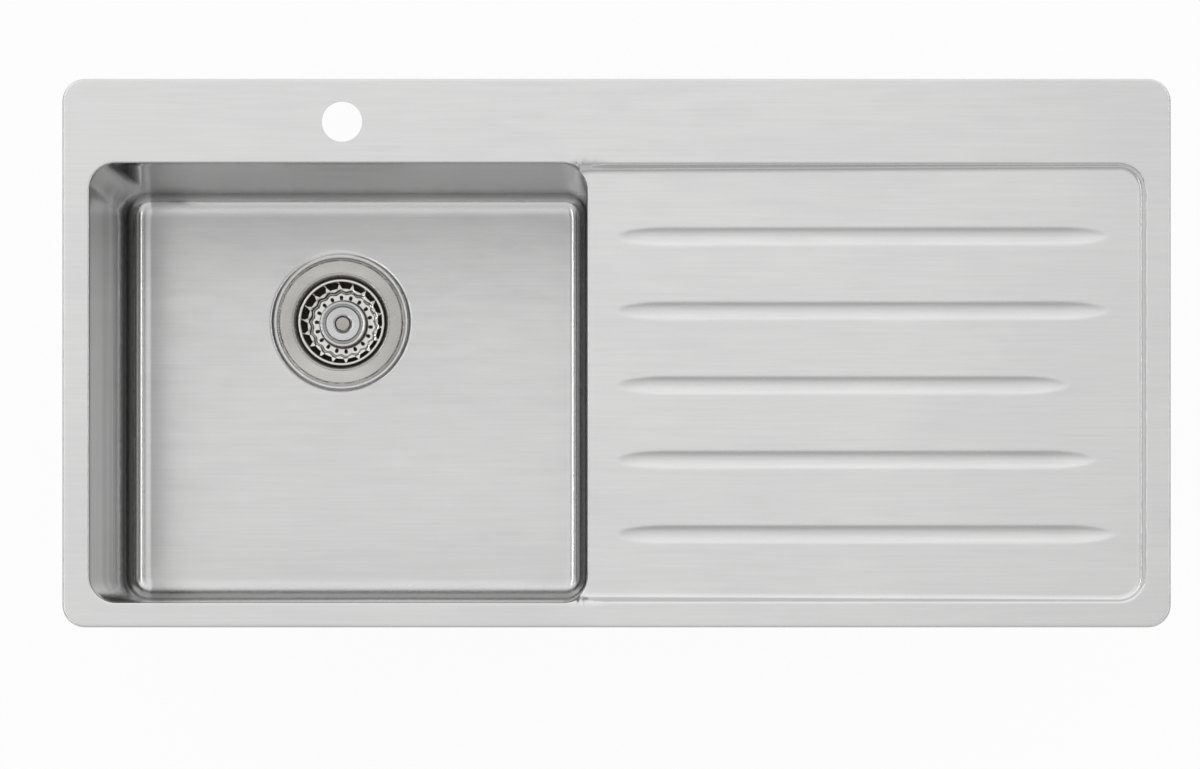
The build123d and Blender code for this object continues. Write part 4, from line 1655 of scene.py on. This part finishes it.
@dataclass
class Basket:
    """The strainer cup with its slots, its lobed foot and its drilled floor.

    Attributes:
        radius: Radius of its rim.
        gauge: Thickness of its sheet.
        wall_radius: Inner radius at the top of the wall.
        wall_foot: Inner radius at the foot of the wall, where the ledge begins.
        ledge_radius: Radius at which the ledge ends.
        ledge_drop: Fall of the ledge towards the middle.
        ledge_rise: Height of its inner edge over the floor.
        floor_radius: Radius at which the floor bends up.
        slots: How many slots it has, and how many holes.
        turn: Turn to the first bar between two slots, in degrees.
        slot_outer: Radius at the top of the slots.
        slot_inner: Radius at their foot.
        bar_foot: Half width of a bar at its foot on the ledge, in degrees.
        bar_tip: Half width of a bar on the wall, in degrees.
        lobe: How far the lobes at its foot stand out.
        hole_circle: Radius of the circle that the holes stand on.
        hole_radius: Radius of a hole.
        bore: Radius of the hole for the rivet.
    """

    radius: float = 41.0
    gauge: float = 0.8
    wall_radius: float = 38.6
    wall_foot: float = 37.3
    ledge_radius: float = 31.4
    ledge_drop: float = 1.0
    ledge_rise: float = 9.2
    floor_radius: float = 29.6
    slots: int = 18
    turn: float = 15.0
    slot_outer: float = 38.35
    slot_inner: float = 33.4
    bar_foot: float = 3.8
    bar_tip: float = 1.0
    lobe: float = 0.9
    hole_circle: float = 25.7
    hole_radius: float = 2.2
    bore: float = 3.05

    def __post_init__(self) -> None:
        """Works out the levels from the frame's basket, and the step of the spin in degrees."""
        low, high = node_box("basket")
        self.top = high.z
        self.floor = low.z + self.gauge
        self.ledge = self.floor + self.ledge_rise
        self.step = 36 / self.slots
        self.bar_end = self.wall_foot - 0.7

    def section(self) -> list[Corner]:
        """Gives the half section, with a corner on every line of the slots and holes."""
        pitch = self.hole_radius / 2
        wall_top = self.top - 1.6
        wall_height = wall_top - self.ledge - self.ledge_drop
        wall = [
            (
                self.slot_outer - share * (self.slot_outer - self.wall_foot),
                wall_top - share * wall_height,
                0,
            )
            for share in (0.0, 0.35, 0.7, 0.94)
        ]
        ledge_slope = self.ledge_drop / (self.wall_foot - self.ledge_radius)
        ledge = [
            (reach, self.ledge + (reach - self.ledge_radius) * ledge_slope, 0)
            for reach in spread(self.bar_end, self.slot_inner, 0.9)
        ]
        hole_lines = spread(self.hole_circle + 2 * pitch, self.hole_circle - 2 * pitch, pitch)
        return [
            (self.radius, self.top - 2.2, 0),
            (self.radius, self.top, 0.7),
            (self.wall_radius, self.top, 0.5),
            *wall,
            (self.wall_foot, self.ledge + self.ledge_drop, 0.5),
            *ledge,
            (self.ledge_radius, self.ledge, 0.9),
            (self.floor_radius + 0.6, self.floor + self.ledge_rise / 2, 0),
            (self.floor_radius, self.floor, 0.9),
            *[(reach, self.floor, 0) for reach in hole_lines],
            (self.hole_circle - self.hole_radius - 1.2, self.floor, 0),
            (self.bore, self.floor, 0),
        ]

    def off_bar(self, vert: Vector) -> tuple[float, float]:
        """Gives a place's radius and its angle from the nearest bar, in degrees."""
        pitch = 360 / self.slots
        angle = vert.xy.angle_signed(Vector((1, 0)))
        off = (degrees(angle) - self.turn + pitch / 2) % pitch - pitch / 2
        return vert.xy.length, off

    def build(self) -> bpy.types.Object:
        """Builds and dresses the basket.

        Returns:
            The finished piece.
        """
        bm = bmesh.new()
        draw_section(bm, self.section())
        spin_section(bm, Vector((0, 0, 0)), round(360 / self.step))
        turn = Matrix.Rotation(radians(self.turn), 4, "Z")
        bmesh.ops.transform(bm, matrix=turn, verts=bm.verts)
        cut = [face for face in bm.faces if self.is_cut(face.calc_center_median())]
        bmesh.ops.delete(bm, geom=cut, context="FACES")
        for vert in bm.verts:
            self.press(vert)
        bmesh.ops.translate(bm, vec=waste_axis(), verts=bm.verts)
        face_up(bm)
        sharpen(bm)
        piece = finish_piece(bm, "basket_cup", "basket", Finish.BASKET, ["basket"])
        thicken(piece, self.gauge, even=False)
        return piece

    def is_cut(self, place: Vector) -> bool:
        """Says whether a place of the plain cup lies in a slot or in a hole."""
        reach, off = self.off_bar(place)
        in_slot = self.slot_inner < reach < self.slot_outer
        in_hole = abs(reach - self.hole_circle) < self.hole_radius
        return (in_slot and abs(off) > self.step) or (in_hole and abs(off) < 2 * self.step)

    def press(self, vert: bmesh.types.BMVert) -> None:
        """Moves a point of the plain cup to the tapered bars, the round holes and the lobes.

        Args:
            vert: The point.
        """
        reach, off = self.off_bar(vert.co)
        moved, aside = reach, off
        if reach > self.ledge_radius and abs(abs(off) - self.step) < 0.1:
            share = (reach - self.slot_inner) / (self.bar_end - self.slot_inner)
            half = self.bar_foot + min(max(share, 0.0), 1.0) * (self.bar_tip - self.bar_foot)
            aside = off / abs(off) * half
        elif reach < self.floor_radius - 0.3:
            half = self.hole_radius
            hole = Outline(-half, half, -half, half, half)
            along = radians(off) * self.hole_circle
            inward, along = hole.draw_in(reach - self.hole_circle, along, 0.0, 1.0)
            moved, aside = self.hole_circle + inward, degrees(along / self.hole_circle)
        weight = min(1.0, max(0.0, (self.slot_inner - reach) / 1.6))
        if reach > self.hole_circle + self.hole_radius + 0.1:
            moved += self.lobe * weight * cos(radians(off) * self.slots)
        turn = atan2(vert.co.y, vert.co.x) + radians(aside - off)
        vert.co.x, vert.co.y = moved * cos(turn), moved * sin(turn)


def smooth_copy(node: str, body: str, finish: Finish, edge: float = 0.0) -> bpy.types.Object:
    """Dresses a merged and smoothed copy of a solid.

    Args:
        node: Name of the solid.
        body: Its body.
        finish: Its finish.
        edge: Radius to which its sharp edges are broken, in millimetres.

    Returns:
        The new piece.
    """
    bm = bmesh.new()
    bm.from_mesh(frame["nodes"][node].data)
    bmesh.ops.scale(bm, vec=(1 / MM, 1 / MM, 1 / MM), verts=bm.verts)
    bmesh.ops.remove_doubles(bm, verts=bm.verts, dist=0.002)
    bmesh.ops.dissolve_limit(
        bm,
        angle_limit=radians(0.5),
        verts=bm.verts[:],
        edges=bm.edges[:],
        delimit={"NORMAL"},
    )
    sharpen(bm)
    piece = finish_piece(bm, f"{node}_skin", body, finish, [node])
    if edge:
        round_edges(piece, edge)
    return piece


# ---------------------------------------------------------------- light and camera

FLOOR_REACH = 6.0
SENSOR_WIDTH = 36.0
CLIP_RANGE = (0.05, 50.0)
WHITE = (1.0, 1.0, 1.0, 1.0)


@dataclass
class Studio:
    """Floor, backdrop light, lamps and camera.

    Attributes:
        camera_height: Height of the lens above the rim, in metres.
        camera_y: Place of the lens across the deck, in metres.
        lens: Focal length in millimetres.
        shift: Sideways and upward shift of the frame.
        ceiling_tilt: How far the ceiling's middle lies to the back, in radians.
        ceiling_edge: Cosines of the angles at which it ends and is full.
        ceiling_levels: Brightness of the ceiling, at its front and at its back.
        back_level: Brightness of the back wall.
        front_level: Brightness of the front wall.
        right_level: Share of the ceiling's brightness left on the right.
        gap_level: Brightness of the gaps at the sides.
        gaps: Sines of the angles between which a gap lies.
        gap_reach: How far to the front and back a gap is full and has ended.
        ceiling_fade: Directions across Y between which its brightness changes.
        right_fade: Directions along X between which it dims on the right.
        wall_fade: Directions across Y from the front wall to the back wall.
        foot_fade: Heights of a direction between which the white foot turns to walls.
        floor_paint: Colour of the floor's paint.
        floor_glow: Share of white in the floor that the camera sees.
        strips: Name, place along X and brightness of each strip lamp.
        strip_height: Height of the strip lamps in metres.
        strip_size: Their length and width in metres.
    """

    camera_height: float = 2.467
    camera_y: float = -0.202
    lens: float = 84.65
    shift: tuple[float, float] = (-0.0138, 0.1663)
    ceiling_tilt: float = radians(8)
    ceiling_edge: tuple[float, float] = (cos(radians(46)), cos(radians(28)))
    ceiling_levels: tuple[float, float] = (0.97, 1.2)
    back_level: float = 1.25
    front_level: float = 0.5
    right_level: float = 0.86
    gap_level: float = 0.1
    gaps: tuple[tuple[float, float], ...] = ((0.36, 0.46), (0.54, 0.70), (0.76, 0.90))
    gap_reach: tuple[float, float] = (0.3, 0.45)
    ceiling_fade: tuple[float, float] = (0.0, 0.25)
    right_fade: tuple[float, float] = (0.11, 0.19)
    wall_fade: tuple[float, float] = (-0.15, 0.5)
    foot_fade: tuple[float, float] = (0.12, 0.3)
    floor_paint: float = 0.82
    floor_glow: float = 0.94
    strips: tuple[tuple[str, float, float], ...] = (
        ("left_strip", -1.4, 7.0),
        ("right_strip", 1.4, 5.0),
    )
    strip_height: float = 1.8
    strip_size: tuple[float, float] = (2.0, 0.12)

    def build(self) -> None:
        """Builds floor, world, lamps and camera."""
        self.lay_floor()
        self.light_world()
        self.hang_lamps()
        self.place_camera()
        bpy.context.scene.view_settings.view_transform = "Standard"

    def lay_floor(self) -> None:
        """Lays the floor under the object's lowest point."""
        bm = bmesh.new()
        bmesh.ops.create_grid(bm, x_segments=1, y_segments=1, size=FLOOR_REACH)
        bmesh.ops.translate(bm, vec=(0, 0, cad_box[0].z), verts=bm.verts)
        mesh = bpy.data.meshes.new("floor")
        bm.to_mesh(mesh)
        bm.free()
        floor = bpy.data.objects.new("floor", mesh)
        bpy.context.scene.collection.objects.link(floor)
        material = bpy.data.materials.new("pale floor")
        material.use_nodes = True
        bench = NodeBench(material.node_tree)
        paint = bench.add("BsdfDiffuse")
        paint.inputs["Color"].default_value = (*[self.floor_paint] * 3, 1.0)
        glow = bench.add("Emission")
        glow.inputs["Color"].default_value = WHITE
        path = bench.add("LightPath")
        seen = bench.math("MAXIMUM", path.outputs["Is Camera Ray"], path.outputs["Is Glossy Ray"])
        seen = bench.math("MAXIMUM", seen, path.outputs["Is Transmission Ray"])
        mix = bench.add("MixShader")
        bench.feed(bench.math("MULTIPLY", seen, self.floor_glow), mix.inputs[0])
        bench.feed(paint.outputs[0], mix.inputs[1])
        bench.feed(glow.outputs[0], mix.inputs[2])
        output = bench.add("OutputMaterial")
        bench.feed(mix.outputs[0], output.inputs["Surface"])
        mesh.materials.append(material)

    def light_world(self) -> None:
        """Lights the world as a soft studio, and shows it white to the camera.

        The light comes from a wide ceiling, a bright wall at the back, a dimmer one at the
        front, narrow dark gaps at the sides and a white wall all round the foot.
        """
        world = bpy.data.worlds.new("studio")
        bpy.context.scene.world = world
        world.use_nodes = True
        bench = NodeBench(world.node_tree)
        look = bench.add("TexCoord").outputs["Generated"]
        x, y, z = bench.split(look)
        ceiling_axis = (0.0, sin(self.ceiling_tilt), cos(self.ceiling_tilt))
        ceiling_level = bench.remap(y, *self.ceiling_fade, *self.ceiling_levels)
        ceiling = bench.remap(bench.dot(look, ceiling_axis), *self.ceiling_edge, 0.0, 1.0)
        wall = bench.remap(y, *self.wall_fade, self.front_level, self.back_level)
        aside = bench.math("ABSOLUTE", x)
        narrow = bench.remap(bench.math("ABSOLUTE", y), *self.gap_reach, 1.0, 0.0)
        aside_level = bench.remap(x, *self.right_fade, 1.0, self.right_level)
        ceiling_level = bench.math("MULTIPLY", ceiling_level, aside_level)
        level = bench.level(ceiling, wall, ceiling_level)
        for start, end in self.gaps:
            edge = (end - start) / 4
            opened = bench.remap(aside, start, start + edge, 0.0, 1.0)
            closed = bench.remap(aside, end - edge, end, 1.0, 0.0)
            gap = bench.math("MULTIPLY", bench.math("MULTIPLY", opened, closed), narrow)
            level = bench.level(gap, level, self.gap_level)
        level = bench.level(bench.remap(z, *self.foot_fade, 1.0, 0.0), level, 1.0)
        seen = bench.add("LightPath").outputs["Is Camera Ray"]
        background = bench.add("Background")
        background.inputs["Color"].default_value = WHITE
        bench.feed(bench.level(seen, level, 1.0), background.inputs["Strength"])
        output = bench.add("OutputWorld")
        bench.feed(background.outputs[0], output.inputs["Surface"])

    def hang_lamps(self) -> None:
        """Hangs two long narrow softboxes beside the sink, which draw its bends as lines."""
        length, width = self.strip_size
        low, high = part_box("bowl")
        for name, aside, level in self.strips:
            place = Vector((aside, 0.0, self.strip_height))
            light = bpy.data.lights.new(name, "AREA")
            light.shape = "RECTANGLE"
            light.size, light.size_y = length, width
            light.energy = level * pi * width * length
            lamp = bpy.data.objects.new(name, light)
            bpy.context.scene.collection.objects.link(lamp)
            lamp.location = place
            aim = Vector((low + high) / 2) - place
            aim.y = 0.0
            lamp.rotation_euler = aim.to_track_quat("-Z", "Y").to_euler()
            lamp.visible_camera = False

    def place_camera(self) -> None:
        """Places the camera straight above the sink, shifted to the photograph's frame."""
        data = bpy.data.cameras.new("camera")
        data.sensor_width = SENSOR_WIDTH
        data.lens = self.lens
        data.shift_x, data.shift_y = self.shift
        data.clip_start, data.clip_end = CLIP_RANGE
        camera = bpy.data.objects.new("camera", data)
        bpy.context.scene.collection.objects.link(camera)
        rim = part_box("deck")[1].z
        camera.location = (0.0, self.camera_y, rim + self.camera_height)
        bpy.context.scene.camera = camera


PLAIN_PIECES = {
    Finish.WASTE: (0.3, ("outlet_neck", "outlet_cross")),
    Finish.BASKET: (0.0, ("catch_sleeve", "plug_washer")),
    Finish.ZINC: (
        0.15,
        (
            "rail_front",
            "rail_right",
            "rail_back_right",
            "rail_back_left",
            "rail_left",
            "stiffener_back",
            "stiffener_front",
        ),
    ),
    Finish.RUBBER: (0.3, ("flange_gasket", "under_gasket", "tail_washer", "plug_seal")),
    Finish.FOAM: (0.3, ("rim_seal",)),
    Finish.MAT: (
        0.5,
        ("pad_right", "pad_back", "pad_left", "pad_front", "pad_floor_right", "pad_floor_left"),
    ),
    Finish.DARK_PLASTIC: (0.8, ("lock_nut", "coupling_nut")),
    Finish.PALE_PLASTIC: (0.4, ("outlet_tail", "friction_ring")),
    Finish.SCREW: (0.25, tuple(f"screw_{number}" for number in range(1, 9))),
    Finish.CLIP: (0.25, tuple(f"claw_{number}" for number in range(1, 9))),
}


def main() -> None:
    """Builds every piece, the studio and the camera."""
    logging.basicConfig(level=logging.INFO, format="%(message)s")
    bodies = {
        node: body
        for body, nodes in frame["record"]["behaviour"]["bodies"].items()
        for node in nodes
    }
    pieces = [Deck().build(), Bowl().build(waste_axis()), Basket().build()]
    pieces += [turned.build() for turned in Waste().pieces()]
    for finish, (edge, nodes) in PLAIN_PIECES.items():
        pieces += [smooth_copy(node, bodies[node], finish, edge) for node in nodes]
    for piece in pieces:
        log.info("%s: %d faces", piece.name, len(piece.data.polygons))
    Studio().build()


if __name__ == "__main__":
    main()
